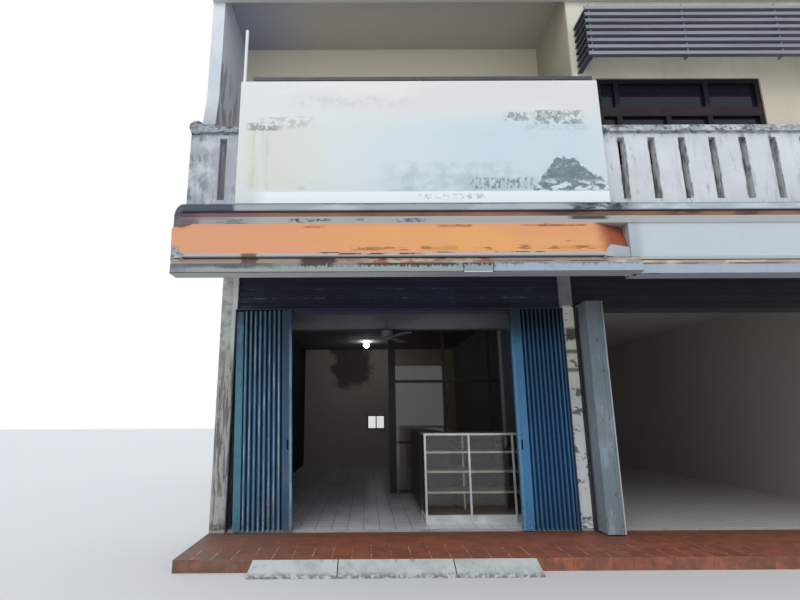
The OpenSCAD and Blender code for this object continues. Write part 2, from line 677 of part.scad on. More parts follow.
// Timber door set: frame, transom, upper lights, glazed leaves and panels below
mulls = [0.124, 0.419, 0.67];
function rail_x(i) = i < 0 ? timber_w/2 : i > 2 ? door_set_w - timber_w/2 : door_set_w*mulls[i];
module between(i, j, x0, y0, y1, z0, z1)
  box(x0 + rail_x(i) + timber_w/2, x0 + rail_x(j) - timber_w/2, y0, y1, upper_z + z0, upper_z + z1);
module panes(x0, y0, y1) {
  for (p = [[-1, 0], [0, 2], [2, 3]])
    between(p[0], p[1], x0, y0, y1, transom_h + timber_w, door_set_h - timber_w);
  for (i = [-1:2])
    between(i, i + 1, x0, y0, y1, sill_h + 90, transom_h - timber_w);
}
module door_set(x0, y0, low) difference() {
  box(x0, x0 + door_set_w, y0, y0 + timber_d, upper_z + low, upper_z + door_set_h);
  panes(x0, y0 - 1, y0 + timber_d + 1);
  if (low == 0) for (i = [-1:2], s = [0, 1])
    between(i, i + 1, x0, y0 - 1 + s*(timber_d - 27), y0 + 28 + s*(timber_d - 27), 90, sill_h);
}
module door_panes(x0, y0) panes(x0, y0 + timber_d/2 - glass_t/2, y0 + timber_d/2 + glass_t/2);
module upper_doors() color("#3a2a30") {
  door_set(set_xl, 20, 0);
  door_set(set_xr, -upper_d + 20, sill_h);
}
module window_glass() color("#1e2230") {
  door_panes(set_xl, 20);
  door_panes(set_xr, -upper_d + 20);
  rear_panes();
}

// Louvred sunshade: leaning slats with returned feet on the front and both
// sides, carried by flat posts with arms back to the wall
module slat_run(z)
  polygon([[0, z], [slat_foot, z], [slat_foot, z + slat_t/2], [slat_t*1.2, z + slat_t/2],
    [slat_t + blade_lean, z + slat_h], [blade_lean, z + slat_h]]);
module sunshade() color("#8e8e99") {
  z0 = upper_z + shade_z;
  z1 = z0 + shade_n*shade_pitch;
  for (k = [0:shade_n - 1]) {
    z = z0 + 6 + k*shade_pitch;
    translate([0, shade_y, 0]) run_x(shade_x0, shade_x1) slat_run(z);
    translate([shade_x0, 0, 0]) run_y(shade_y + blade_lean, -upper_d) slat_run(z);
    translate([shade_x1, 0, 0]) mirror([1, 0, 0]) run_y(shade_y + blade_lean, -upper_d)
      slat_run(z);
  }
  for (i = [0:4]) {
    x = shade_x0 + shade_post + i*(shade_x1 - shade_x0 - 2*shade_post - slat_t)/4;
    box(x, x + slat_t, shade_y + blade_lean, shade_y + slat_foot + shade_post, z0, z1);
    box(x, x + slat_t, shade_y + slat_foot, -upper_d, z1 - shade_post, z1);
  }
}

// Roof slab with a deep front edge and an upstand
module roof_slab() color("#b9b8b2") {
  difference() {
    box(-half, half, edge_y, rear_out, upper_top, roof_top + roof_kerb_h);
    box(-half + wall_t, half - wall_t, edge_y + wall_t, rear_out - wall_t, roof_top,
      roof_top + roof_kerb_h + 1);
  }
  box(-half, half, edge_y, edge_y + edge_t, edge_z, upper_top + e);
}

// Blank sheet sign on a welded tube frame with a standing tube at its left end
module sign_board() color("#e3e9ea")
  box(sign_l, sign_l + sign_w, sign_y, sign_y + sign_t, sign_z, sign_z + sign_h);
module tube(x, y, z0, z1) translate([x, y, z0]) cylinder(h = z1 - z0, d = tube_d, $fn = 24);
module sign_frame() color("#3a3d44") {
  y = sign_y + sign_t + tube_d/2 - 1;
  top = sign_z + sign_h;
  for (x = [0.12, 0.5, 0.88]) tube(sign_l + sign_w*x, y, cornice_top, top + tube_d*1.5);
  for (z = [sign_z + sign_h*0.08, top - sign_h*0.14, top + tube_d*1.5])
    box(sign_l + tube_d*3.6, sign_l + sign_w - tube_d, y - tube_d*0.46, y + tube_d*0.46,
      z - tube_d*0.6, z + tube_d*0.6);
  tube(sign_l + tube_d*0.8, y, cornice_top, top + tube_rise);
  box(sign_l + tube_d*0.8, sign_l + tube_d*4, y - tube_d/4, y + tube_d/4,
    top - sign_h*0.14 - tube_d/4, top - sign_h*0.14 + tube_d/4);
}

ground_slab();
terrace_step();
entry_ramp();
wall_left_ground();
wall_party_ground();
wall_right_ground();
column_left();
column_party();
column_right();
rear_wall();
rear_frames();
headers();
gate_frames();
gate_left();
gate_right();
side_packs();
ceiling_beam();
ceiling_fan();
ceiling_lamp();
partition_frame();
partition_glass();
counter_posts();
counter_shelves();
counter_glass();
counter_side_run();
upper_floor_slab();
cornice();
canopy_skirt();
canopy_fascia();
band_right();
parapet_base();
parapet_left();
parapet_right();
parapet_rail();
wall_left_upper();
wall_party_upper();
wall_right_upper();
recess_wall();
front_wall_right();
upper_doors();
window_glass();
sunshade();
roof_slab();
sign_board();
sign_frame();
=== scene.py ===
import json
import math

import bpy
from mathutils import Matrix, Vector

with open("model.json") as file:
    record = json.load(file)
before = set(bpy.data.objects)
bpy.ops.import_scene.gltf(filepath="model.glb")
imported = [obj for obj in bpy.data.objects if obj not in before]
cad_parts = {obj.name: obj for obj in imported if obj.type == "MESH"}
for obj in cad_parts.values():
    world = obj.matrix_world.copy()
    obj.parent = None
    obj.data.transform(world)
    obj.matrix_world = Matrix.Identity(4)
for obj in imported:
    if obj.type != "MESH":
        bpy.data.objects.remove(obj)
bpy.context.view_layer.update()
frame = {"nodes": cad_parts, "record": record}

scene = bpy.context.scene
scene.view_settings.view_transform = "Standard"

# Levels above the ground, in metres
FLOOR_LOW, FLOOR_HIGH = 0.14, 0.16
FASCIA_FOOT, FASCIA_TOP = 2.873, 2.971
BAND_TOP, LIP_FOOT, LIP_TOP = 3.018, 3.030, 3.062
SKIRT_TOP, STRIP_FOOT, STRIP_TOP, CORNICE_TOP = 3.418, 3.496, 3.562, 3.640
SLAB_LEVEL = 3.56
SLOT_FOOT, SLOT_TOP, RAIL_FOOT, RAIL_TOP = 3.82, 4.62, 4.62, 4.85
WINDOW_RAIL_FOOT, WINDOW_RAIL_TOP = 5.07, 5.22
ROOM_TOP = 6.9
# Laths of the header that carry dust
DUST_LOW, DUST_HIGH = 3.059, 3.186
# Across the front: inner face of the left wall, which the right wall mirrors, and both outer faces
LEFT_FACE, LEFT_OUT, RIGHT_OUT = -4.43, -4.49, 4.49
# Block let into the fascia
PATCH_LEFT, PATCH_RIGHT = -1.68, -1.40
# Pitches of what repeats, with the shift that puts the first line on its place
TILE, FLOOR_SHIFT = 0.2, 0.086
FLOOR_JOINT, TERRACE_JOINT, LIME_JOINT = 0.006, 0.007, 0.012
SLOT_PITCH, SLOT_SHIFT = 0.346, -0.252
LATH_PITCH, LATH_SHIFT = 0.102, -2.89
LEFT_RIB_PITCH, LEFT_RIDGE_SHIFT, LEFT_GROOVE_SHIFT = 0.06175, 4.2290, 4.2045
RIGHT_RIB_PITCH, RIGHT_RIDGE_SHIFT = 0.05077, 0.1141
# How far the left gate pack leans sideways for each metre of height
LEAN, LEAN_START = 0.0278, -0.08
# Flaked and chipped places, each as left, right, foot and top
MOULDING_BLOTS = ((-3.42, -3.00, 3.43, 3.475), (-2.74, -2.60, 3.45, 3.48), (-2.34, -2.03, 3.43, 3.475))
LOWER_CHIPS = ((-2.78, -2.22, 3.09, 3.13), (-2.10, -1.74, 3.09, 3.14), (-1.58, -1.40, 3.09, 3.13),
               (-1.2, -1.02, 3.10, 3.15), (-0.95, -0.25, 3.10, 3.14))
UPPER_CHIPS = ((-3.26, -3.08, 3.365, 3.395), (-1.9, -1.58, 3.365, 3.40), (-1.05, -0.4, 3.375, 3.40))


def srgb(code):
    """An sRGB hex colour as linear numbers."""
    parts = [int(code[i:i + 2], 16) / 255 for i in (1, 3, 5)]
    return tuple(v / 12.92 if v < 0.04045 else ((v + 0.055) / 1.055) ** 2.4 for v in parts) + (1.0,)


def feed(tree, socket, value):
    """Links another node's output to a socket, or sets a constant on it."""
    if isinstance(value, bpy.types.NodeSocket):
        tree.links.new(value, socket)
    else:
        socket.default_value = value


def add(tree, kind, sockets=None, **settings):
    """Adds one shader node with its settings, values and links."""
    n = tree.nodes.new(kind)
    for k, v in settings.items():
        setattr(n, k, v)
    for k, v in (sockets or {}).items():
        feed(tree, n.inputs[k], v)
    return n


class Surface:
    """One material built up in coats; every pattern lies in metres in the part's own frame."""

    def __init__(self, name, colour, rough=0.85, **values):
        self.mat = bpy.data.materials.new(name)
        self.mat.use_nodes = True
        self.tree = self.mat.node_tree
        self.bsdf = self.tree.nodes["Principled BSDF"]
        self.bsdf.inputs["Roughness"].default_value = rough
        for k, v in values.items():
            self.bsdf.inputs[k.replace("_", " ")].default_value = v
        self.place = add(self.tree, "ShaderNodeTexCoord").outputs["Object"]
        self.x, self.y, self.z = add(self.tree, "ShaderNodeSeparateXYZ", {0: self.place}).outputs
        facing = add(self.tree, "ShaderNodeNewGeometry").outputs["Normal"]
        self.up = add(self.tree, "ShaderNodeSeparateXYZ", {0: facing}).outputs[2]
        self.colour = srgb(colour)
        self.reliefs = []

    def clouds(self, mm, long=(1, 1, 1), seed=0.0, detail=5.0, rough=0.6):
        """Noise whose blobs are about mm across, drawn out along an axis by long."""
        spot = add(self.tree, "ShaderNodeMapping", {
            "Vector": self.place, "Location": (seed, seed * 0.7, -seed * 1.3),
            "Scale": tuple(1 / s for s in long)})
        return add(self.tree, "ShaderNodeTexNoise", {
            "Vector": spot.outputs[0], "Scale": 1000 / mm, "Detail": detail, "Roughness": rough}).outputs[0]

    def towards(self, v, start, end):
        """Mask that grows softly from 0 at start to 1 at end."""
        step = {"Value": v, "From Min": min(start, end), "From Max": max(start, end),
                "To Min": float(start > end), "To Max": float(start < end)}
        return add(self.tree, "ShaderNodeMapRange", step, interpolation_type="SMOOTHSTEP").outputs[0]

    def shaken(self, v, mm, far, **how):
        """v moved to and fro by up to far metres, so that an edge drawn along it is ragged."""
        moved = add(self.tree, "ShaderNodeMath", {0: self.clouds(mm, **how), 1: far, 2: v},
                    operation="MULTIPLY_ADD").outputs[0]
        return add(self.tree, "ShaderNodeMath", {0: moved, 1: far / 2}, operation="SUBTRACT").outputs[0]

    def blots(self, mm, least, most, **how):
        """Mask of blobs, from faint where the noise passes least to full at most."""
        return self.towards(self.clouds(mm, **how), least, most)

    def both(self, *masks):
        """Where all the masks hold."""
        out = masks[0]
        for m in masks[1:]:
            out = add(self.tree, "ShaderNodeMath", {0: out, 1: m}, operation="MULTIPLY").outputs[0]
        return out

    def either(self, *masks):
        """Where any of the masks holds."""
        out = masks[0]
        for m in masks[1:]:
            out = add(self.tree, "ShaderNodeMath", {0: out, 1: m}, operation="MAXIMUM").outputs[0]
        return out

    def within(self, v, low, high, soft=0.005):
        """Where v lies between low and high."""
        return self.both(self.towards(v, low - soft, low + soft), self.towards(v, high + soft, high - soft))

    def span(self, left, right, foot, top, soft=0.03):
        """Where x lies between left and right and z between foot and top."""
        return self.both(self.within(self.x, left, right, soft), self.within(self.z, foot, top, soft / 6))

    def lines(self, v, pitch, wide, shift=0.0):
        """The joint lines across v, one every pitch metres."""
        moved = add(self.tree, "ShaderNodeMath", {0: v, 1: shift}, operation="ADD").outputs[0]
        away = add(self.tree, "ShaderNodeMath", {0: moved, 1: pitch / 2}, operation="PINGPONG").outputs[0]
        return self.towards(away, wide * 0.6, wide * 0.4)

    def coat(self, colour, *masks):
        """Lays a colour over what is there, where all the masks hold; a bare number thins it."""
        layer = {0: self.both(*masks), 6: self.colour, 7: srgb(colour)}
        self.colour = add(self.tree, "ShaderNodeMix", layer, data_type="RGBA").outputs[2]

    def relief(self, mask, mm):
        """Raises the surface by mm where the mask is 1."""
        self.reliefs.append(self.both(mask, mm / 1000))

    def done(self):
        """Gives the shader the colour and the summed relief."""
        feed(self.tree, self.bsdf.inputs["Base Color"], self.colour)
        if self.reliefs:
            total = self.reliefs[0]
            for r in self.reliefs[1:]:
                total = add(self.tree, "ShaderNodeMath", {0: total, 1: r}, operation="ADD").outputs[0]
            bump = add(self.tree, "ShaderNodeBump", {"Height": total, "Strength": 1.0, "Distance": 1.0})
            feed(self.tree, self.bsdf.inputs["Normal"], bump.outputs[0])
        return self.mat


def plaster(name, colour, shade, dirt, streaks, mould, edges=(), seed=0.0):
    """Cement plaster, trowelled by hand and washed over: soft clouds of colour, rain streaks, and
    black mould below each edge given as (height, reach)."""
    s = Surface(name, colour, 0.88)
    s.coat(shade, s.blots(700, 0.35, 0.7, seed=seed))
    s.coat(shade, s.blots(230, 0.5, 0.8, seed=seed + 3), 0.7)
    wide = s.blots(95, 0.5, 0.82, long=(1, 1, 9), seed=seed + 7, detail=6)
    fine = s.blots(30, 0.55, 0.85, long=(1, 1, 16), seed=seed + 9)
    s.coat(dirt, wide, streaks)
    s.coat(dirt, fine, streaks * 0.6)
    for z, reach in edges:
        below = s.both(s.towards(s.z, z - reach, z), s.towards(s.z, z + 0.03, z + 0.02))
        film = s.blots(120, 0.42, 0.68, long=(1, 1, 3), seed=seed + z, detail=9, rough=0.7)
        spots = s.blots(24, 0.56, 0.66, seed=seed + z + 2, detail=8, rough=0.7)
        s.coat("#54585b", below, film, mould)
        s.coat("#2b2e30", below, spots, mould)
    s.relief(s.clouds(300, seed=seed), 2.5)
    s.relief(s.clouds(12, detail=6), 0.4)
    return s


def side_wall():
    """Limewash on cement plaster: chalky and rained on outside, with a grey film at the storey's edge
    and dirt at the foot; painted bluish shade on the balcony, painted shade inside the left shop, nearly
    black at its left wall, and painted light on the right shop's walls."""
    edges = [(SLAB_LEVEL, 0.4)]
    s = plaster("limewash_on_cement_plaster", "#dde2e6", "#c6ccd2", "#8b9096", 0.4, 0.35, edges)
    s.coat("#6d706b", s.towards(s.z, 1.2, 0.15), s.blots(180, 0.35, 0.65, seed=2), 0.8)
    balcony = s.both(s.within(s.x, LEFT_FACE, -4.3), s.within(s.z, 3.5, ROOM_TOP))
    # Painted bluish shade of the sky on the balcony face of the wall
    s.coat("#d0d5e4", balcony, 0.85)
    runs = s.blots(110, 0.5, 0.6, long=(1, 1, 4), seed=6, detail=8)
    s.coat("#6d7079", balcony, s.within(s.z, 4.7, 5.9, 0.2), runs, 0.6)
    over_rail = s.towards(s.shaken(s.z, 90, 0.3, seed=12), 5.4, 4.85)
    s.coat("#9a9ea3", s.towards(s.y, -1.0, -1.2), over_rail, 0.6)
    # Painted shade inside the left shop, nearly black at its left wall and grey further right; the right
    # shop's walls painted lighter as painted light
    shop = s.both(s.towards(s.y, 0.2, 0.3), s.within(s.x, LEFT_FACE, -LEFT_FACE), s.towards(s.z, 3.5, 3.4))
    s.coat("#1f2125", shop, s.towards(s.x, -3.0, -4.0))
    s.coat("#7f8086", shop, s.within(s.x, -3.0, 0.01))
    s.coat("#bfb8ae", shop, s.towards(s.x, 0.0, 0.02))
    return s.done()


def back_room_wall():
    """Old distemper on the rear wall: cream, with a brown damp patch that hangs from the ceiling."""
    edges = [(ROOM_TOP, 0.7)]
    s = plaster("distemper_on_rear_wall", "#d6d3cb", "#c4c0b6", "#8f8a80", 0.35, 0.3, edges, 61)
    room = s.both(s.towards(s.y, 8.45, 8.41), s.towards(s.z, 3.6, 3.5))
    s.coat("#d4c8b5", room, s.towards(s.x, 0.1, 0.0))
    s.coat("#cbc5bb", room, s.towards(s.x, 0.0, 0.1), 0.9)
    across = s.shaken(s.x, 300, 0.9, seed=4, detail=7)
    hem = s.shaken(s.z, 420, 0.9, seed=5, detail=7)
    s.coat("#57493f", room, s.within(across, -3.62, -2.55, 0.15), s.towards(hem, 2.2, 2.5), 0.85)
    return s.done()


def dim_beam():
    """Grey oil paint on the ceiling beam, dull and blotched, darkened as painted shade under the canopy,
    most towards the top.
    """
    # Painted shade: the grey darkened for the shade under the canopy
    s = Surface("grey_oil_paint_on_beam_painted_dark", "#77787b", 0.8)
    s.coat("#5f5f61", s.blots(300, 0.4, 0.7, long=(4, 1, 1)))
    # Painted shade, darker towards the top under the ceiling
    s.coat("#47484c", s.towards(s.z, 3.0, 3.3), 0.6)
    return s.done()


def columns():
    """Column plaster under the canopy: pale wash, flaked and grimed in upright streaks, darkest where
    hands and rain reach it."""
    s = plaster("pale_wash_on_column", "#b4b8b2", "#a3a7a1", "#6e716d", 0.45, 0.0, seed=11)
    left = s.towards(s.x, -4.0, -4.3)
    s.coat("#c6cac9", left, s.towards(s.x, -4.44, -4.42), s.towards(s.z, 2.1, 2.3))
    s.coat("#7d8079", left, s.towards(s.x, -4.42, -4.45), s.blots(110, 0.42, 0.62, seed=13, detail=8), 0.8)
    # Column of the party wall: cream above, white below, flaked, with two dark bands and a dark corner
    party = s.within(s.x, -0.1, 0.14, 0.01)
    s.coat("#fffde6", party, s.towards(s.z, 1.6, 2.0))
    s.coat("#e4e9ea", party, s.towards(s.z, 2.0, 1.6))
    flakes = s.blots(90, 0.56, 0.60, long=(1.5, 1, 1), seed=15, detail=7, rough=0.6)
    s.coat("#5a5f5c", party, flakes, 0.85)
    s.coat("#4b504c", party, s.within(s.z, 2.47, 2.63, 0.03), s.towards(s.x, -0.02, 0.02), 0.9)
    bands = s.either(s.within(s.z, 2.29, 2.34, 0.02), s.within(s.z, 2.05, 2.10, 0.02))
    s.coat("#4b504f", party, bands, 0.8)
    # Painted shade on the column's top, under the canopy
    s.coat("#7d8087", party, s.towards(s.z, 2.9, 2.95), 0.95)
    # Left column, worn to the cement where it can be touched
    low = s.both(left, s.towards(s.z, 2.5, 2.0))
    s.coat("#a7a7a1", low, 0.8)
    streaks = s.blots(34, 0.46, 0.58, long=(1, 1, 12), seed=31, detail=7, rough=0.6)
    s.coat("#5e5d58", low, streaks, 0.85)
    pits = s.blots(30, 0.57, 0.64, long=(1, 1, 2.5), seed=33, detail=8, rough=0.7)
    s.coat("#32342f", low, pits, 0.85)
    s.coat("#4a4640", s.towards(s.z, 0.32, 0.16), s.blots(60, 0.4, 0.55, seed=35, detail=8), 0.8)
    s.relief(s.blots(34, 0.46, 0.56, long=(1, 1, 12), seed=31, detail=7), -1.2)
    return s.done()


def upper_rooms():
    """Cream distemper, trowelled smooth and stained by a few drips, with painted light on the recess wall
    and the party wall's front edge, and painted shade on the party wall's side.
    """
    s = plaster("cream_distemper", "#d6d1be", "#c6c0ab", "#9a917e", 0.22, 0.25, [(ROOM_TOP, 0.25)], 21)
    # Painted light: the recess wall painted paler to brighten it in the shade
    s.coat("#efe5cd", s.towards(s.y, -0.12, -0.05), s.towards(s.x, 0.0, -0.08))
    # Party wall: painted shade on its side, the drips on it, and painted light on its front edge
    s.coat("#b3ac97", s.within(s.x, -0.09, 0.0), s.within(s.y, -1.1, -0.02))
    drips = s.both(s.within(s.y, -0.75, -0.3, 0.15), s.within(s.z, 5.2, 5.95, 0.2),
                   s.blots(120, 0.4, 0.6, long=(1, 1, 3), seed=8, detail=8))
    s.coat("#6f6a5c", s.within(s.x, -0.09, -0.06), drips, 0.8)
    s.coat("#dedac8", s.within(s.x, -0.08, 0.1), s.towards(s.y, -1.12, -1.14), 0.6)
    # Warmer wash low on the front wall, right of the window
    beside = s.both(s.towards(s.x, 1.7, 1.95), s.towards(s.y, -0.9, -1.0), s.towards(s.z, 5.8, 5.5))
    s.coat("#d6c5ab", beside, 0.4)
    return s.done()


def parapet():
    """White cement wash on the parapet: rain streaks below the rail, black mould on the rail, round the
    slots and at the left corner, and splashed dirt at the foot."""
    s = plaster("white_cement_wash", "#d6d8da", "#c6c9cc", "#8f949a", 0.45, 0.6, [(4.70, 0.2)], 41)
    s.coat("#9ca1aa", s.towards(s.x, -3.9, -4.2), s.blots(300, 0.2, 0.6, seed=4), 0.9)
    film = s.blots(110, 0.47, 0.62, long=(1, 1, 2), seed=6, detail=9, rough=0.7)
    s.coat("#5c6068", s.towards(s.x, -4.15, -4.6), film, 0.8)
    s.coat("#777c80", s.blots(70, 0.56, 0.70, long=(1, 1, 4), seed=14, detail=8), 0.5)
    rail = s.within(s.z, RAIL_FOOT, RAIL_TOP)
    s.coat("#8d9398", rail, s.blots(160, 0.35, 0.6, seed=8, detail=8), 0.8)
    s.coat("#3a3d41", rail, s.blots(45, 0.50, 0.60, long=(2, 1, 1), seed=9, detail=8, rough=0.7), 0.85)
    by_sign = s.both(s.towards(s.x, 0.35, 0.05), s.towards(s.x, -0.3, 0.0), s.towards(s.z, 4.45, 4.7))
    s.coat("#45484e", by_sign, s.blots(70, 0.42, 0.55, seed=10, detail=8), 0.8)
    slots = s.both(s.lines(s.x, SLOT_PITCH, 0.10, SLOT_SHIFT), s.within(s.z, SLOT_FOOT, SLOT_TOP, 0.05))
    runs = s.blots(60, 0.48, 0.62, long=(1, 1, 3), seed=15, detail=8)
    s.coat("#6a6f74", slots, s.towards(s.x, 0.0, 0.1), runs, 0.8)
    splashes = s.blots(60, 0.42, 0.66, long=(1, 1, 4), seed=12, detail=7)
    s.coat("#7f858b", s.towards(s.z, 3.86, 3.62), splashes, 0.8)
    return s.done()


def upper_moulding(s, stain, uneven):
    """Upper moulding of the cornice: a thin dark rim, smudges, and charcoal at its left end."""
    top = s.within(s.z, STRIP_TOP, CORNICE_TOP + 0.02, 0.003)
    s.coat("#8e959e", top, s.blots(130, 0.46, 0.62, long=(3, 1, 1), seed=45, detail=8), 0.5)
    s.coat("#989c9f", top, s.within(s.x, -3.9, -1.6, 0.2), 0.6)
    s.coat("#c3c8d0", top, s.blots(170, 0.52, 0.66, long=(4, 1, 1), seed=47, detail=7), 0.6)
    s.coat("#bcc0c2", top, s.within(s.x, -1.5, -0.55, 0.15), 0.3)
    rim = s.towards(s.z, CORNICE_TOP - 0.024, CORNICE_TOP - 0.010)
    s.coat("#474d51", top, rim, s.either(stain, 0.55), 0.9)
    hung = s.either(stain, s.within(s.x, -2.1, -1.6, 0.1))
    s.coat("#6c7276", top, s.towards(uneven, 3.63, 3.66), hung, 0.7)
    clump = s.span(-0.55, 0.02, STRIP_TOP, CORNICE_TOP, 0.10)
    s.coat("#565c5f", clump, s.blots(60, 0.40, 0.52, long=(2, 1, 1), seed=26, detail=8), 0.85)
    s.coat("#24282b", clump, s.blots(38, 0.46, 0.54, long=(2, 1, 1), seed=28, detail=8), 0.85)
    s.coat("#2e3236", s.span(-0.13, -0.02, STRIP_TOP, CORNICE_TOP, 0.03), 0.6)
    s.coat("#43495a", top, s.towards(s.x, -3.95, -4.01), 0.95)


def recessed_strip(s, stain):
    """Strip between the mouldings in old red-brown oil paint, greyed at the left end, with painted shade
    along its top under the upper moulding.
    """
    strip = s.within(s.z, STRIP_FOOT, STRIP_TOP, 0.002)
    s.coat("#8f6c55", strip)
    s.coat("#9c6654", strip, s.towards(s.z, 3.53, 3.505), 0.8)
    s.coat("#5f483e", strip, s.blots(200, 0.4, 0.65, long=(4, 1, 1), seed=3, detail=7), 0.7)
    s.coat("#7c6063", strip, s.towards(s.x, -3.6, -4.0), 0.9)
    s.coat("#544a55", strip, s.towards(s.x, -4.30, -4.45), 0.8)
    # Painted shade along the strip's top, under the upper moulding
    s.coat("#241f20", strip, s.towards(s.z, STRIP_TOP - 0.02, STRIP_TOP - 0.008), 0.85)
    s.coat("#3c302e", strip, s.towards(s.x, -1.1, -0.5), stain, 0.8)


def lower_moulding(s, stain):
    """Lower moulding of the cornice: pale, with a painted highlight along its top edge and a row of black
    blots.
    """
    low = s.within(s.z, SKIRT_TOP, STRIP_FOOT, 0.002)
    # Painted highlight along the moulding's top edge
    s.coat("#c3c6ca", low, s.towards(s.z, STRIP_FOOT - 0.016, STRIP_FOOT - 0.006), 0.6)
    s.coat("#a29f99", low, s.towards(s.x, -4.0, -3.5), 0.75)
    s.coat("#6d736b", low, s.towards(s.x, -3.6, -3.9), s.either(stain, 0.55), 0.9)
    s.coat("#55504f", low, s.towards(s.x, -4.30, -4.42), 0.8)
    s.coat("#9c6568", s.span(-4.48, -4.05, 3.465, STRIP_FOOT, 0.06), 0.55)
    blots = s.either(*[s.span(*place) for place in MOULDING_BLOTS])
    s.coat("#50565a", blots, s.blots(55, 0.44, 0.58, long=(1.5, 1, 1), seed=23, detail=6), 0.85)
    s.coat("#2d3133", blots, s.blots(40, 0.56, 0.64, long=(1.5, 1, 1), seed=24, detail=6), 0.8)
    s.coat("#2b2e2c", s.span(-0.55, -0.18, 3.455, STRIP_FOOT, 0.05), 0.9)


def lip_and_band(s, stain):
    """Pale lip over a groove painted near black as painted shade, and under it a pink band, flaked to brown
    and tan.
    """
    lip = s.within(s.z, LIP_FOOT, LIP_TOP, 0.001)
    s.coat("#b0b2ae", lip)
    brown = s.within(s.x, -3.87, -3.71, 0.01)
    s.coat("#6d5747", lip, brown, 0.9)
    soot = s.both(s.towards(s.z, 3.040, 3.048), s.within(s.x, -3.05, -2.1, 0.05),
                  s.blots(80, 0.46, 0.52, long=(2.5, 1, 1), seed=27, detail=4))
    s.coat("#2f2b29", lip, soot, 0.9)
    # Painted shade: the groove under the lip, near black
    s.coat("#111315", s.within(s.z, BAND_TOP, LIP_FOOT, 0.002))
    band = s.within(s.z, FASCIA_TOP, BAND_TOP, 0.002)
    s.coat("#aa9284", band)
    worn = s.either(s.towards(s.z, 2.985, 2.995), stain)
    s.coat("#a89c8b", band, s.within(s.x, -3.71, -3.28, 0.02), worn)
    s.coat("#6a4f42", band, brown, 0.9)
    dark = s.either(s.within(s.x, -3.28, -2.94, 0.03), s.within(s.x, -2.65, -2.45, 0.02))
    s.coat("#4a3630", band, dark, 0.9)
    s.coat("#a39892", band, s.towards(s.x, -1.45, -1.3), 0.75)
    mottle = s.blots(90, 0.44, 0.56, long=(2.5, 1, 1), seed=5, detail=7)
    s.coat("#b0714e", band, s.within(s.x, -2.9, -1.4, 0.1), mottle, 0.9)
    s.coat("#6b4636", band, s.within(s.x, -2.0, -1.4, 0.1), s.towards(s.z, 3.0, 3.008), mottle, 0.9)
    tan = s.blots(70, 0.5, 0.6, long=(3, 1, 1), seed=25, detail=6)
    s.coat("#d3c3ae", band, s.towards(s.x, -2.9, -2.7), tan, 0.7)
    line = s.both(s.towards(s.x, -1.9, -1.2), s.within(s.z, 2.980, 2.992, 0.003))
    broken = s.either(s.blots(180, 0.42, 0.52, long=(4, 1, 1), seed=29), s.within(s.x, -0.65, -0.25, 0.05))
    s.coat("#5f4438", band, line, broken, 0.9)


def fascia(s, stain, uneven):
    """Fascia: mould hangs from its upper edge, in a film at the left and in drips further on; one
    block let in later is cleaner, and the underside is even."""
    face = s.both(s.within(s.z, FASCIA_FOOT, FASCIA_TOP, 0.002), s.towards(s.up, -0.9, -0.5))
    s.coat("#979e9b", face)
    s.coat("#a2aebb", face, s.towards(s.x, -1.45, -1.3))
    hem = s.shaken(s.z, 200, 0.12, long=(2, 1, 1), seed=35, detail=8)
    s.coat("#596057", face, s.towards(s.x, -3.45, -3.65), s.towards(hem, 2.915, 2.935), 0.85)
    s.coat("#343a36", face, s.towards(s.x, -3.5, -3.7), s.towards(hem, 2.935, 2.95), 0.75)
    s.coat("#77748a", face, s.towards(s.x, -4.25, -4.45), s.blots(120, 0.35, 0.6, seed=36, detail=8), 0.6)
    hang = s.either(s.within(s.x, -3.29, -2.97, 0.04), s.within(s.x, -2.72, -1.74, 0.05))
    s.coat("#6d7678", face, s.towards(s.x, -1.6, -1.9), s.towards(uneven, 2.925, 2.95), 0.6)
    s.coat("#363c3f", face, hang, s.towards(uneven, 2.934, 2.946), 0.9)
    s.coat("#55585a", face, s.within(s.x, -1.35, 0.1, 0.1), s.towards(uneven, 2.945, 2.965), stain, 0.8)
    s.coat("#767e80", face, s.blots(60, 0.55, 0.8, long=(1, 1, 3), seed=37), 0.6)
    shoulder = s.both(s.within(s.z, LIP_FOOT, 3.17), s.towards(s.x, -4.40, LEFT_FACE))
    s.coat("#8d8a98", shoulder, s.blots(90, 0.3, 0.6, seed=38, detail=8), 0.8)
    s.coat("#5b5a60", shoulder, s.blots(50, 0.52, 0.6, seed=39, detail=8), 0.7)
    patch = s.within(s.x, PATCH_LEFT, PATCH_RIGHT, 0.003)
    s.coat("#3a312d", face, s.within(s.x, PATCH_LEFT - 0.015, PATCH_RIGHT + 0.015, 0.003), 0.85)
    s.coat("#8f9a9c", face, patch, s.towards(uneven, 2.955, 2.945))
    s.coat("#2a2e30", face, s.towards(s.z, FASCIA_FOOT + 0.016, FASCIA_FOOT + 0.008), s.either(stain, 0.75))
    s.coat("#cfd5d4", face, patch, s.towards(s.z, 2.886, 2.880))
    underside = s.both(s.towards(s.z, FASCIA_FOOT + 0.002, FASCIA_FOOT), s.towards(s.up, -0.5, -0.9))
    s.coat("#b3b6b1", underside)
    s.coat("#97969f", underside, s.towards(s.x, -2.6, -1.6))


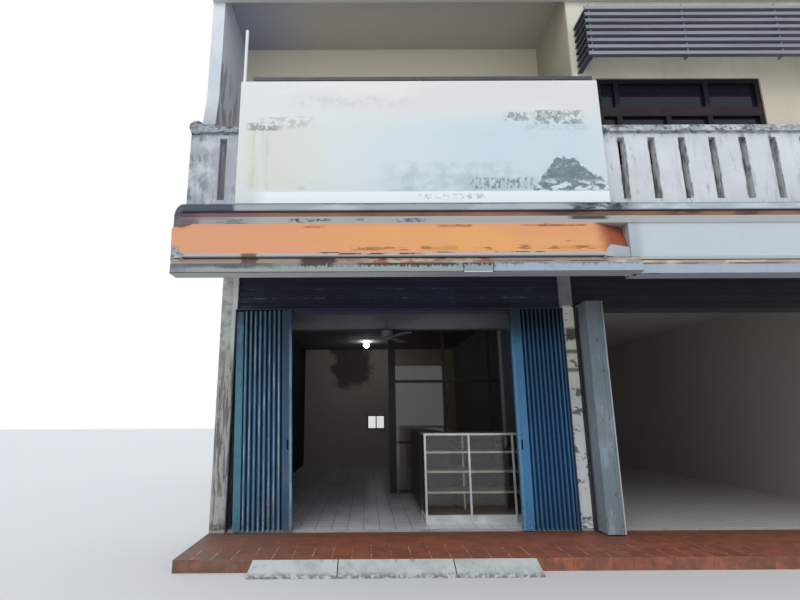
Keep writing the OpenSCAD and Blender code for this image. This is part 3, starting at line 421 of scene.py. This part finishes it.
def cornice():
    """Pale grey emulsion on cement mouldings: long black mould stains, a brown strip and a thin pink
    band, both flaked, and the groove under the lip painted near black as painted shade."""
    s = plaster("grey_emulsion_on_mouldings", "#b2babf", "#a6aeb3", "#7c848a", 0.25, 0.0, seed=51)
    s.coat("#c4cbd1", s.towards(s.x, 0.1, 0.2), 0.8)
    s.x = s.shaken(s.x, 40, 0.12, seed=41, detail=7)
    stain = s.blots(150, 0.44, 0.60, long=(4, 1, 1), seed=9, detail=9, rough=0.7)
    uneven = s.shaken(s.z, 28, 0.15, long=(1, 1, 2.5), seed=19, detail=9, rough=0.7)
    upper_moulding(s, stain, uneven)
    recessed_strip(s, stain)
    lower_moulding(s, stain)
    lip_and_band(s, stain)
    fascia(s, stain, uneven)
    s.relief(s.blots(45, 0.50, 0.60, long=(2, 1, 1), seed=17, detail=9, rough=0.7), -0.5)
    return s.done()


def orange_skirt():
    """Flat orange masonry paint, faded towards yellow in the sun and chipped to cement along its edges,
    with a darker red at the right end as painted shade on the splayed end."""
    s = Surface("orange_masonry_paint", "#d5966a", 0.78)
    s.x = s.shaken(s.x, 60, 0.12, seed=41, detail=7)
    s.coat("#db9d5e", s.blots(1100, 0.3, 0.6), s.towards(s.x, -3.4, -2.6))
    s.coat("#d3956f", s.towards(s.x, -3.3, -4.3))
    s.coat("#d69266", s.towards(s.x, -1.6, -0.6), s.towards(s.z, 3.2, 3.35), 0.8)
    s.coat("#c98757", s.blots(260, 0.5, 0.8, long=(3, 1, 1), seed=2), 0.35)
    s.coat("#d98f70", s.either(s.towards(s.z, 3.10, 3.075), s.towards(s.z, 3.375, 3.40)), 0.6)
    # Painted shade on the splayed right end, in a darker red
    s.coat("#8c3a22", s.towards(s.x, -0.38, -0.14), 0.9)
    chips = s.blots(45, 0.50, 0.60, long=(3.5, 1, 1), seed=5, detail=6)
    lower = s.either(*[s.span(*place) for place in LOWER_CHIPS])
    s.coat("#b98038", lower, s.blots(90, 0.42, 0.62, long=(3, 1, 1), seed=6, detail=6), 0.7)
    s.coat("#7d5430", lower, chips, 0.75)
    upper = s.either(*[s.span(*place) for place in UPPER_CHIPS])
    s.coat("#a8693f", upper, 0.6)
    s.coat("#6e4a34", upper, chips, 0.8)
    foot = s.both(s.towards(s.z, LIP_TOP + 0.016, LIP_TOP + 0.008), s.within(s.x, -3.1, -0.85, 0.05))
    s.coat("#33302b", foot, s.blots(75, 0.50, 0.54, long=(4, 1, 1), seed=7, detail=5), 0.9)
    cracks = s.both(s.blots(60, 0.62, 0.66, long=(3, 1, 1), seed=9, detail=5), s.towards(s.x, -1.2, -0.3))
    s.coat("#7a4a30", cracks, 0.7)
    s.relief(cracks, -0.6)
    s.relief(s.clouds(10, detail=6), 0.3)
    return s.done()


def slabs():
    """Floor, ceilings and roof: glazed white 20 cm floor tile with grey joints on top of the ground
    slab, limewash on the soffits and round the upper slab's edge with painted light and shade on the
    soffits, and bare cast concrete outside."""
    s = Surface("cast_concrete_and_floor_tile", "#a9a8a2")
    s.coat("#9b9a94", s.blots(400, 0.3, 0.7, detail=5))
    s.coat("#7d7e79", s.blots(300, 0.5, 0.75, long=(1, 1, 3), seed=6, detail=6), 0.7)
    sides = s.either(s.towards(s.x, LEFT_OUT, LEFT_OUT - 0.005),
                     s.towards(s.x, RIGHT_OUT, RIGHT_OUT + 0.005))
    washed = s.either(sides, s.towards(s.y, 8.51, 8.515))
    s.coat("#ccd1d5", washed, s.within(s.z, 3.0, 4.0))
    # Soffits: limewash above the rooms, partly painted light that brightens the recess, with painted bluish
    # shade at the roof's left end; under the upper floor, painted shade over the left shop and painted
    # light over the right one
    soffit = s.towards(s.up, -0.5, -0.9)
    over_rooms, over_shops = s.towards(s.z, 5.0, 6.0), s.towards(s.z, 5.0, 4.0)
    s.coat("#c1bdb4", soffit, over_rooms)
    s.coat("#99a3c0", soffit, over_rooms, s.towards(s.x, -3.2, -4.4), 0.8)
    s.coat("#8c8780", soffit, over_shops, s.towards(s.x, 0.1, -0.1))
    s.coat("#c9c5bf", soffit, over_shops, s.towards(s.x, -0.1, 0.1))
    roof_edge = s.both(s.towards(s.y, -1.1, -1.18), s.towards(s.z, 6.55, 6.65))
    s.coat("#c9cbc8", roof_edge)
    floor_top = s.both(s.towards(s.up, 0.5, 0.9), s.within(s.z, FLOOR_LOW, FLOOR_HIGH))
    tiled = s.both(floor_top, s.towards(s.y, -0.02, 0.0))
    joints = s.either(s.lines(s.x, TILE, FLOOR_JOINT, FLOOR_SHIFT), s.lines(s.y, TILE, FLOOR_JOINT))
    s.coat("#e2e6ea", tiled)
    s.coat("#c8cdd3", tiled, s.blots(500, 0.4, 0.7, seed=4), 0.8)
    s.coat("#5d6064", tiled, joints)
    s.coat("#cfccc8", tiled, s.towards(s.x, -0.1, 0.1), 0.7)
    s.relief(s.both(tiled, joints), -1.5)
    sheen = add(s.tree, "ShaderNodeMapRange", {"Value": tiled, "To Min": 0.85, "To Max": 0.3})
    feed(s.tree, s.bsdf.inputs["Roughness"], sheen.outputs[0])
    return s.done()


def cast_ramp():
    """Cast cement, worn pale by wheels and grubby at its foot."""
    s = Surface("cast_cement", "#c1c7c5")
    s.coat("#acb2b0", s.blots(200, 0.4, 0.7, detail=8))
    s.coat("#8a908c", s.blots(110, 0.55, 0.72, seed=3, detail=8), 0.8)
    s.coat("#6b706d", s.towards(s.z, 0.05, 0.005), s.blots(50, 0.42, 0.56, detail=8), 0.9)
    s.relief(s.clouds(80, detail=8), 2.0)
    return s.done()


def terrace():
    """Unglazed terracotta tile, 20 cm, worn dull by feet, greyed by dust, with pale lime left in the
    joints near the front, and painted shade under the canopy towards the shop front."""
    s = Surface("unglazed_terracotta_tile", "#9a5a42", 0.6)
    s.coat("#87503c", s.blots(180, 0.45, 0.55, detail=1))
    s.coat("#a5603f", s.blots(420, 0.45, 0.7, seed=2), 0.7)
    # Painted shade under the canopy, darker towards the shop front
    s.coat("#74483b", s.towards(s.y, -0.5, 0.0), 0.7)
    s.coat("#745a4c", s.towards(s.x, -2.6, -4.2), s.blots(240, 0.3, 0.65, seed=5, detail=8), 0.85)
    s.coat("#5d5249", s.towards(s.x, -3.9, -4.5), s.blots(90, 0.4, 0.6, seed=6, detail=8), 0.7)
    level = s.towards(s.up, 0.2, 0.8)
    across = s.both(s.lines(s.y, TILE, TERRACE_JOINT), level)
    joints = s.either(s.lines(s.x, TILE, TERRACE_JOINT), across)
    s.coat("#55352b", joints, 0.5)
    pale = s.both(s.lines(s.x, TILE, LIME_JOINT), level, s.towards(s.y, -0.45, -0.85))
    s.coat("#cfa48d", pale, s.blots(110, 0.44, 0.58, seed=7), 0.85)
    lime = s.both(s.blots(130, 0.42, 0.58, seed=8), s.towards(s.y, -0.55, -0.95), level)
    s.coat("#c9a08a", joints, lime, 0.6)
    s.coat("#64453b", s.towards(s.up, 0.5, 0.2), s.blots(110, 0.4, 0.65, seed=9, detail=8), 0.7)
    s.relief(joints, -1.2)
    s.relief(s.clouds(9, detail=6), 0.25)
    return s.done()


def blue_gate():
    """Blue enamel brushed on folded steel sheet: a worn shine, painted highlights on the ridges and leaf
    edges, folds painted lighter as painted light with a painted-shade line in each crease, painted shade
    towards the top, grime, and rust at the foot and in small chips; the right pack is darker."""
    s = Surface("blue_enamel_on_steel_sheet", "#2f6489", 0.45)
    s.coat("#2b5273", s.blots(500, 0.35, 0.65, long=(1, 1, 4)))
    # Distance along the left pack, which hangs out of plumb
    drop = add(s.tree, "ShaderNodeMath", {0: s.z, 1: LEAN, 2: LEAN_START}, operation="MULTIPLY_ADD")
    along = add(s.tree, "ShaderNodeMath", {0: s.x, 1: drop.outputs[0]}, operation="ADD").outputs[0]
    ridge, fold = s.towards(s.y, -0.052, -0.060), s.towards(s.y, -0.050, -0.015)
    # Painted highlight on the ridges, thinned in blotches
    ridge_highlight = s.both(ridge, s.either(s.blots(90, 0.38, 0.62, long=(1, 1, 7), seed=3), 0.3))
    left = s.towards(s.x, -2.5, -3.0)
    # Painted light: the folds painted lighter against the shade that falls in them
    s.coat("#3f7397", fold, 0.85)
    # Painted highlight lines on the left pack's ridges, and a painted-shade line in each crease
    s.coat("#a3c3d0", ridge_highlight, s.lines(along, LEFT_RIB_PITCH, 0.012, LEFT_RIDGE_SHIFT), left)
    s.coat("#142c3e", s.lines(along, LEFT_RIB_PITCH, 0.009, LEFT_GROOVE_SHIFT), left, 0.8)
    worn = s.both(s.within(s.x, -4.2, -3.8, 0.1), s.within(s.z, 0.35, 1.7, 0.4),
                  s.blots(120, 0.42, 0.6, long=(1, 1, 3), seed=14, detail=7))
    s.coat("#4f6678", ridge, worn, 0.7)
    s.coat("#3f7c8f", s.towards(along, -4.245, -4.26), s.towards(s.z, 2.7, 2.2), 0.85)
    leaf = s.within(along, -3.762, -3.6, 0.004)
    s.coat("#1c4966", leaf, 0.9)
    # Painted highlight on the edge of the left pack's end leaf, fading out at the top
    s.coat("#80a9c0", leaf, s.towards(along, -3.664, -3.658), s.towards(s.z, 2.75, 2.5), 0.85)
    # Painted shade towards the top of the left pack, under the canopy
    s.coat("#26323f", s.towards(s.z, 1.9, 2.75), left, 0.6)
    grime = s.blots(260, 0.50, 0.66, long=(1.4, 1, 2.2), seed=21, detail=7, rough=0.65)
    s.coat("#27465c", grime, 0.45)
    dust = s.blots(170, 0.46, 0.60, long=(1, 1, 2), seed=22, detail=7)
    s.coat("#5b6675", s.towards(s.z, 1.5, 0.4), dust, 0.5)
    faded = s.blots(150, 0.52, 0.66, long=(1, 1, 3), seed=23, detail=6)
    s.coat("#4d8aa6", s.towards(s.x, -3.9, -4.1), faded, 0.5)
    # The right pack, darker, with its end leaf and a painted highlight on the leaf's edge
    right_pack = s.towards(s.x, -2.0, -1.5)
    s.coat("#194d76", right_pack, 0.75)
    # Painted light in the right pack's folds, and painted highlights on its ridges
    s.coat("#2f6b9a", right_pack, fold, 0.8)
    s.coat("#3f78a0", right_pack, ridge_highlight, s.lines(s.x, RIGHT_RIB_PITCH, 0.010, RIGHT_RIDGE_SHIFT), 0.6)
    s.coat("#3e80aa", right_pack, s.within(s.x, -0.75, -0.60, 0.004), s.towards(s.z, 2.8, 2.3), 0.8)
    # Painted highlight on the end leaf's edge, then painted shade towards the pack's top
    s.coat("#5b92bc", right_pack, s.towards(s.x, -0.708, -0.714), s.towards(s.z, 2.75, 2.2), 0.6)
    s.coat("#0d1622", right_pack, s.towards(s.z, 2.3, 2.75), 0.85)
    s.coat("#22384a", s.blots(45, 0.60, 0.70, long=(1, 1, 2), seed=4, detail=8), 0.8)
    foot = s.both(s.towards(s.z, 0.6, 0.15), s.blots(38, 0.5, 0.62, seed=8, detail=8))
    rust = s.either(s.blots(22, 0.66, 0.71, seed=6, detail=6), foot)
    s.coat("#4f4038", rust, 0.7)
    s.relief(rust, -0.3)
    s.relief(s.clouds(30, detail=6), 0.12)
    return s.done()


def grey_gate():
    """Grey oil paint on steel sheet, dull and dusty, with paler wiped stretches, a worn edge and painted
    shade towards the top.
    """
    s = Surface("grey_oil_paint_on_steel_sheet", "#97a5ac", 0.6)
    front = s.towards(s.y, -0.302, -0.308)
    s.coat("#76838b", front, 0.95)
    s.coat("#69747b", s.blots(400, 0.35, 0.7, long=(1, 1, 4)), 0.5)
    s.coat("#98a5b0", front, s.blots(140, 0.5, 0.7, long=(1, 1, 3), seed=3, detail=7), 0.7)
    s.coat("#3b4145", s.blots(36, 0.62, 0.70, long=(1, 1, 2), seed=5, detail=7), 0.8)
    edges = s.either(s.within(s.x, 0.368, 0.39, 0.002), s.within(s.x, 4.1, 4.122, 0.002))
    s.coat("#ccc8cd", front, edges, 0.8)
    # Painted shade towards the top, under the canopy
    s.coat("#4b5156", s.towards(s.z, 2.5, 2.9), 0.6)
    s.relief(s.clouds(30, detail=6), 0.12)
    return s.done()


def header_boards():
    """Blue-black oil paint on steel laths and gate frames, with broken lines of dust on two laths, and
    painted shade over the right bay."""
    s = Surface("blue_black_oil_paint_on_steel", "#2e374c", 0.6)
    s.coat("#242a3a", s.blots(500, 0.35, 0.65, long=(4, 1, 1)))
    dust = s.both(s.blots(60, 0.48, 0.62, long=(2, 1, 1), seed=3, detail=6),
                  s.blots(500, 0.4, 0.55, seed=5))
    s.coat("#8b95a4", s.within(s.z, DUST_LOW - 0.008, DUST_LOW + 0.008, 0.005), dust, 0.8)
    s.coat("#6d7786", s.within(s.z, DUST_HIGH - 0.006, DUST_HIGH + 0.006, 0.005), dust, 0.7)
    s.coat("#2f3644", s.lines(s.z, LATH_PITCH, 0.010, LATH_SHIFT), 0.4)
    # Painted shade over the right bay
    s.coat("#1b1f28", s.towards(s.x, 0.1, 0.14), 0.8)
    return s.done()


def maroon_timber():
    """Maroon oil paint brushed on timber, faded on the middle rail and nearly black elsewhere."""
    s = Surface("maroon_oil_paint_on_timber", "#111015", 0.55, Specular_IOR_Level=0.3)
    s.coat("#0e0d12", s.blots(60, 0.35, 0.7, long=(1, 1, 9)))
    rail = s.within(s.z, WINDOW_RAIL_FOOT, WINDOW_RAIL_TOP, 0.02)
    s.coat("#2b181f", rail, 0.9)
    s.coat("#3e252b", rail, s.blots(260, 0.45, 0.7, seed=2), 0.7)
    leaves = s.towards(s.z, WINDOW_RAIL_FOOT, WINDOW_RAIL_FOOT - 0.04)
    s.coat("#1d1319", leaves, s.blots(200, 0.4, 0.6, seed=4), 0.8)
    s.relief(s.clouds(12, long=(1, 1, 20)), 0.3)
    return s.done()


def partition_timber():
    """Brown varnish on sawn timber, gone dark, and a satin aluminium post at the right end."""
    s = Surface("brown_varnish_on_timber", "#453b30", 0.45)
    s.coat("#2d2620", s.blots(40, 0.3, 0.7, long=(1, 1, 12)))
    s.coat("#12100f", s.towards(s.x, -2.08, -2.10), 0.8)
    s.coat("#8d7c5e", s.within(s.x, -2.098, -2.05, 0.002), s.towards(s.z, 2.1, 2.0), 0.8)
    s.coat("#b9beb9", s.towards(s.x, -0.14, -0.13))
    return s.done()


def aluminium():
    """Anodised aluminium bar, extruded: pale and satin."""
    s = Surface("anodised_aluminium_bar", "#d7dbd8", 0.4, Metallic=0.5)
    s.coat("#bfc4c1", s.blots(200, 0.4, 0.6))
    return s.done()


def counter_sides():
    """Dark laminated board of the counter's side run: near black, a little glossy."""
    s = Surface("dark_laminated_board", "#25211f", 0.4)
    s.coat("#3b322b", s.blots(30, 0.4, 0.7, long=(1, 1, 14)))
    return s.done()


def louvre():
    """Grey oil paint on steel slats: dusty, with painted shade underneath and on the left end's slats
    behind the front.
    """
    s = Surface("grey_oil_paint_on_slats", "#8b8d96", 0.55)
    s.coat("#797b84", s.blots(350, 0.35, 0.7, long=(5, 1, 1)))
    s.coat("#62636c", s.blots(140, 0.55, 0.72, long=(5, 1, 1), seed=3, detail=8), 0.7)
    # Painted shade on the slats' undersides and on the left end's slats behind the front
    s.coat("#5b5c68", s.towards(s.up, -0.5, -0.8), 0.9)
    s.coat("#33343f", s.towards(s.x, 0.06, 0.03), s.towards(s.y, -1.48, -1.46), 0.8)
    return s.done()


def sign_tubes():
    """Dark oil paint on steel tube, and the white plastic tube that stands at the left end."""
    s = Surface("dark_oil_paint_on_tube", "#3c3f46", 0.5)
    s.coat("#4a4848", s.blots(200, 0.4, 0.6))
    s.coat("#dfe3ea", s.towards(s.x, -3.99, -4.01))
    return s.done()


def peeled_hill(s):
    """Mask of the hill-shaped patch of primer at the sign's right, ragged along its crest."""
    # Slope of each flank with its height at x = 0, and the height of the level crest
    left_slope, left_height, right_slope, right_height, top = 1.3, 4.97, -0.8, 3.99, 4.275
    rise = add(s.tree, "ShaderNodeMath", {0: s.x, 1: left_slope, 2: left_height},
               operation="MULTIPLY_ADD").outputs[0]
    fall = add(s.tree, "ShaderNodeMath", {0: s.x, 1: right_slope, 2: right_height},
               operation="MULTIPLY_ADD").outputs[0]
    flanks = add(s.tree, "ShaderNodeMath", {0: rise, 1: fall}, operation="MINIMUM").outputs[0]
    crest = add(s.tree, "ShaderNodeMath", {0: flanks, 1: top}, operation="MINIMUM").outputs[0]
    height = s.shaken(s.z, 90, 0.26, seed=6, detail=9, rough=0.75)
    above = add(s.tree, "ShaderNodeMath", {0: height, 1: crest}, operation="SUBTRACT").outputs[0]
    foot = s.towards(s.shaken(s.z, 120, 0.08, seed=9), 3.89, 3.91)
    return s.both(s.towards(above, 0.012, -0.012), foot, s.towards(s.x, -0.86, -0.76))


def sign_sheet():
    """White enamel baked on galvanised sheet and faded by the sun: a thin blue wash, cream rain stains at
    the left, and grey primer where the film has peeled in patches."""
    s = Surface("faded_enamel_on_galvanised_sheet", "#d9dcd8", 0.5)
    # Pinkish and cream bleaching along the top
    upper = s.both(s.towards(s.z, 4.75, 5.0), s.towards(s.x, -3.6, -2.4))
    s.coat("#ddd7d4", upper, s.blots(700, 0.3, 0.6, long=(3, 1, 1), seed=1), 0.8)
    s.coat("#e9e3dc", s.towards(s.z, 4.7, 4.95), s.blots(420, 0.48, 0.66, long=(4, 1, 1), seed=17), 0.7)
    # Blue wash, fullest in the middle, and the cream stains left of it
    wash = s.both(s.towards(s.z, 4.95, 4.55), s.towards(s.x, -3.7, -2.2))
    s.coat("#ced9dc", wash, 0.85)
    middle = s.both(s.towards(s.x, -2.4, -1.1), s.towards(s.x, 0.1, -0.35))
    s.coat("#c5d6dc", wash, middle, s.blots(800, 0.25, 0.6, seed=2), 0.9)
    s.coat("#d3d5c6", s.span(-4.0, -3.2, 3.95, 4.7, 0.4), 0.8)
    runs = s.blots(60, 0.4, 0.7, long=(1, 1, 8), seed=3)
    s.coat("#bcbda8", s.span(-3.93, -3.66, 3.92, 4.65, 0.1), runs, 0.7)
    # Bluish smears and the white strip along the foot
    smear = s.blots(160, 0.42, 0.6, seed=4, detail=8)
    s.coat("#b0c0c5", s.span(-2.39, -0.93, 3.88, 4.24, 0.2), smear, 0.6)
    low_smear = s.blots(200, 0.36, 0.6, long=(2, 1, 1), seed=5)
    s.coat("#afc0c4", s.span(-2.39, -0.93, 3.88, 4.10, 0.3), low_smear, 0.8)
    left_smear = s.blots(120, 0.38, 0.6, seed=18, detail=6)
    s.coat("#b3c4cb", s.span(-3.43, -3.20, 3.91, 4.0, 0.12), left_smear, 0.8)
    s.coat("#eef2f1", s.towards(s.z, 3.90, 3.88), s.towards(s.x, -3.90, -3.70))
    hill = peeled_hill(s)
    s.coat("#76868b", hill)
    s.coat("#5f6f74", hill, s.blots(60, 0.45, 0.6, seed=7, detail=6), 0.6)
    s.coat("#a9b7bb", hill, s.blots(30, 0.56, 0.64, long=(2, 1, 1), seed=16), 0.8)
    snow = s.blots(60, 0.50, 0.56, long=(2, 1, 1), seed=13)
    s.coat("#dfe9ec", hill, s.towards(s.z, 4.06, 3.96), snow, 0.85)
    # Smaller flaked places: along the foot, at the upper right, at the upper left and along the top
    flakes = s.blots(32, 0.47, 0.56, long=(1, 1, 2), seed=8, detail=6)
    s.coat("#788689", s.span(-1.5, -0.80, 3.92, 4.05, 0.08), flakes, 0.9)
    foot = s.blots(60, 0.46, 0.6, seed=11, detail=5)
    s.coat("#97a09f", s.span(-2.1, -1.35, 3.80, 3.86, 0.06), foot, 0.6)
    clumps = s.blots(65, 0.44, 0.56, seed=10, detail=6)
    right = s.either(s.span(-1.07, -0.80, 4.74, 4.85, 0.05), s.span(-0.74, -0.20, 4.70, 4.87, 0.05))
    s.coat("#8e9a99", right, clumps, 0.85)
    s.coat("#66726f", right, clumps, s.blots(40, 0.52, 0.6, seed=14, detail=5), 0.8)
    s.coat("#a3b0b2", s.span(-0.85, -0.15, 4.62, 4.72, 0.1), clumps, 0.4)
    peeled = s.blots(45, 0.50, 0.58, seed=5, detail=7, rough=0.65)
    s.coat("#6a746e", s.span(-3.95, -3.62, 4.63, 4.73, 0.05), s.either(clumps, peeled), 0.75)
    s.coat("#a4aba3", s.span(-3.80, -3.25, 4.66, 4.80, 0.1), clumps, 0.6)
    top_flakes = s.blots(130, 0.42, 0.6, seed=12, detail=6)
    s.coat("#b9c1bb", s.span(-3.5, -2.28, 4.93, 5.05, 0.25), top_flakes, 0.55)
    s.relief(hill, -0.4)
    s.relief(s.clouds(400), 1.5)
    return s.done()


def clear_panes():
    """Float glass in the shop: clear, with a sharp reflection."""
    return Surface("float_glass", "#f0ebdd", 0.03, IOR=1.5, Transmission_Weight=1.0).done()


def panes_painted_dark():
    """Float glass of the upper windows, with a weak reflection, tinted blue-black and stopping most of the
    light as painted shade of the dark rooms behind, given as the share of the light it stops. The panes in
    the rear wall are clear."""
    # Share of the light the upper panes stop: painted shade of the dark rooms behind
    film = 0.88
    s = Surface("float_glass_painted_dark", "#1f212d", 0.03, IOR=1.5, Specular_IOR_Level=0.3)
    rear = s.towards(s.y, 7.0, 8.0)
    s.coat("#f0ebdd", rear)
    clear = add(s.tree, "ShaderNodeMapRange", {"Value": rear, "To Min": 1 - film, "To Max": 1.0})
    feed(s.tree, s.bsdf.inputs["Transmission Weight"], clear.outputs[0])
    return s.done()


def opal_lamp():
    """Opal glass of the ceiling lamp, lit from inside."""
    light, strength = srgb("#eef4ff"), 30.0
    return Surface("opal_glass", "#f4f6f2", 0.4, Emission_Color=light, Emission_Strength=strength).done()


def fan_paint():
    """Grey enamel on the ceiling fan's pressed steel, dulled by dust."""
    s = Surface("grey_enamel_on_fan", "#6b7076", 0.5)
    s.coat("#4d5156", s.blots(60, 0.4, 0.7))
    return s.done()


# One material for each slot of the record, and a few for single nodes
mats = {
    "wall_plaster": side_wall(), "column_plaster": columns(), "cream_plaster": upper_rooms(),
    "parapet_plaster": parapet(), "cornice_paint": cornice(), "orange_paint": orange_skirt(),
    "concrete": slabs(), "terrace_tile": terrace(), "blue_gate": blue_gate(), "grey_gate": grey_gate(),
    "dark_boards": header_boards(), "dark_timber": maroon_timber(), "partition_timber": partition_timber(),
    "aluminium_bar": aluminium(), "dark_panel": counter_sides(), "grey_louvre": louvre(),
    "steel_tube": sign_tubes(), "sign_sheet": sign_sheet(), "clear_glass": clear_panes(),
    "lamp_glass": opal_lamp(), "fan_paint": fan_paint(),
}
own = {"entry_ramp": cast_ramp(), "rear_wall": back_room_wall(), "ceiling_beam": dim_beam(),
       "window_glass": panes_painted_dark()}
slots = {part["node"]: part["material_slot"] for part in frame["record"]["subparts"]}
for name, piece in frame["nodes"].items():
    piece.data.materials.clear()
    piece.data.materials.append(own.get(name, mats[slots[name]]))

# Plain pale ground, a little below the part so that their faces don't meet
GROUND_SIZE, GROUND_LEVEL = 120, -0.001
bpy.ops.mesh.primitive_plane_add(size=GROUND_SIZE, location=(0, 0, GROUND_LEVEL))
floor = bpy.context.object
floor.name = "pale_floor"
floor.data.materials.append(Surface("pale_floor", "#dcdcda", 0.9).done())

# Soft overcast sky; the camera sees plain white
world = bpy.data.worlds.new("overcast")
scene.world = world
world.use_nodes = True
tree = world.node_tree
sky = add(tree, "ShaderNodeBackground", {"Color": srgb("#e9f0fb"), "Strength": 1.0})
white = add(tree, "ShaderNodeBackground", {"Color": srgb("#ffffff"), "Strength": 1.0})
seen = add(tree, "ShaderNodeLightPath").outputs["Is Camera Ray"]
backdrop = add(tree, "ShaderNodeMixShader", {0: seen, 1: sky.outputs[0], 2: white.outputs[0]})
feed(tree, tree.nodes["World Output"].inputs[0], backdrop.outputs[0])

# Weak wide sun, warm, from the front left, high
SUN_STRENGTH = 1.0
SUN_WIDTH, SUN_TILT, SUN_TURN = math.radians(40), math.radians(48), math.radians(-20)
sun = bpy.data.objects.new("soft_sun", bpy.data.lights.new("soft_sun", "SUN"))
sun.data.energy = SUN_STRENGTH
sun.data.angle = SUN_WIDTH
sun.data.color = (1.0, 0.97, 0.92)
sun.rotation_euler = (SUN_TILT, 0, SUN_TURN)
scene.collection.objects.link(sun)

# The photograph's camera, worked out from the building's upright and level edges
EYE = (-2.645, -6.748, 1.512)
YAW, PITCH, ROLL = math.radians(0.2), math.radians(12.61), math.radians(-0.32)
# Width of the photograph, place of its optical axis across it and focal length, in pixels
PICTURE_PX, AXIS_PX, FOCAL_PX = 800, 367.7, 515
SENSOR_MM, FARTHEST = 36, 300
ahead = Vector((math.sin(YAW), math.cos(YAW), 0))
level = Vector((math.cos(YAW), -math.sin(YAW), 0))
look = ahead * math.cos(PITCH) + Vector((0, 0, math.sin(PITCH)))
above = -ahead * math.sin(PITCH) + Vector((0, 0, math.cos(PITCH)))
right = level * math.cos(ROLL) + above * math.sin(ROLL)
up = -level * math.sin(ROLL) + above * math.cos(ROLL)
cam = bpy.data.objects.new("photo_camera", bpy.data.cameras.new("photo_camera"))
pose = Matrix((right, up, -look)).transposed().to_4x4()
pose.translation = Vector(EYE)
cam.matrix_world = pose
cam.data.sensor_width = SENSOR_MM
cam.data.lens = SENSOR_MM * FOCAL_PX / PICTURE_PX
cam.data.shift_x = (PICTURE_PX / 2 - AXIS_PX) / PICTURE_PX
cam.data.clip_end = FARTHEST
scene.collection.objects.link(cam)
scene.camera = cam
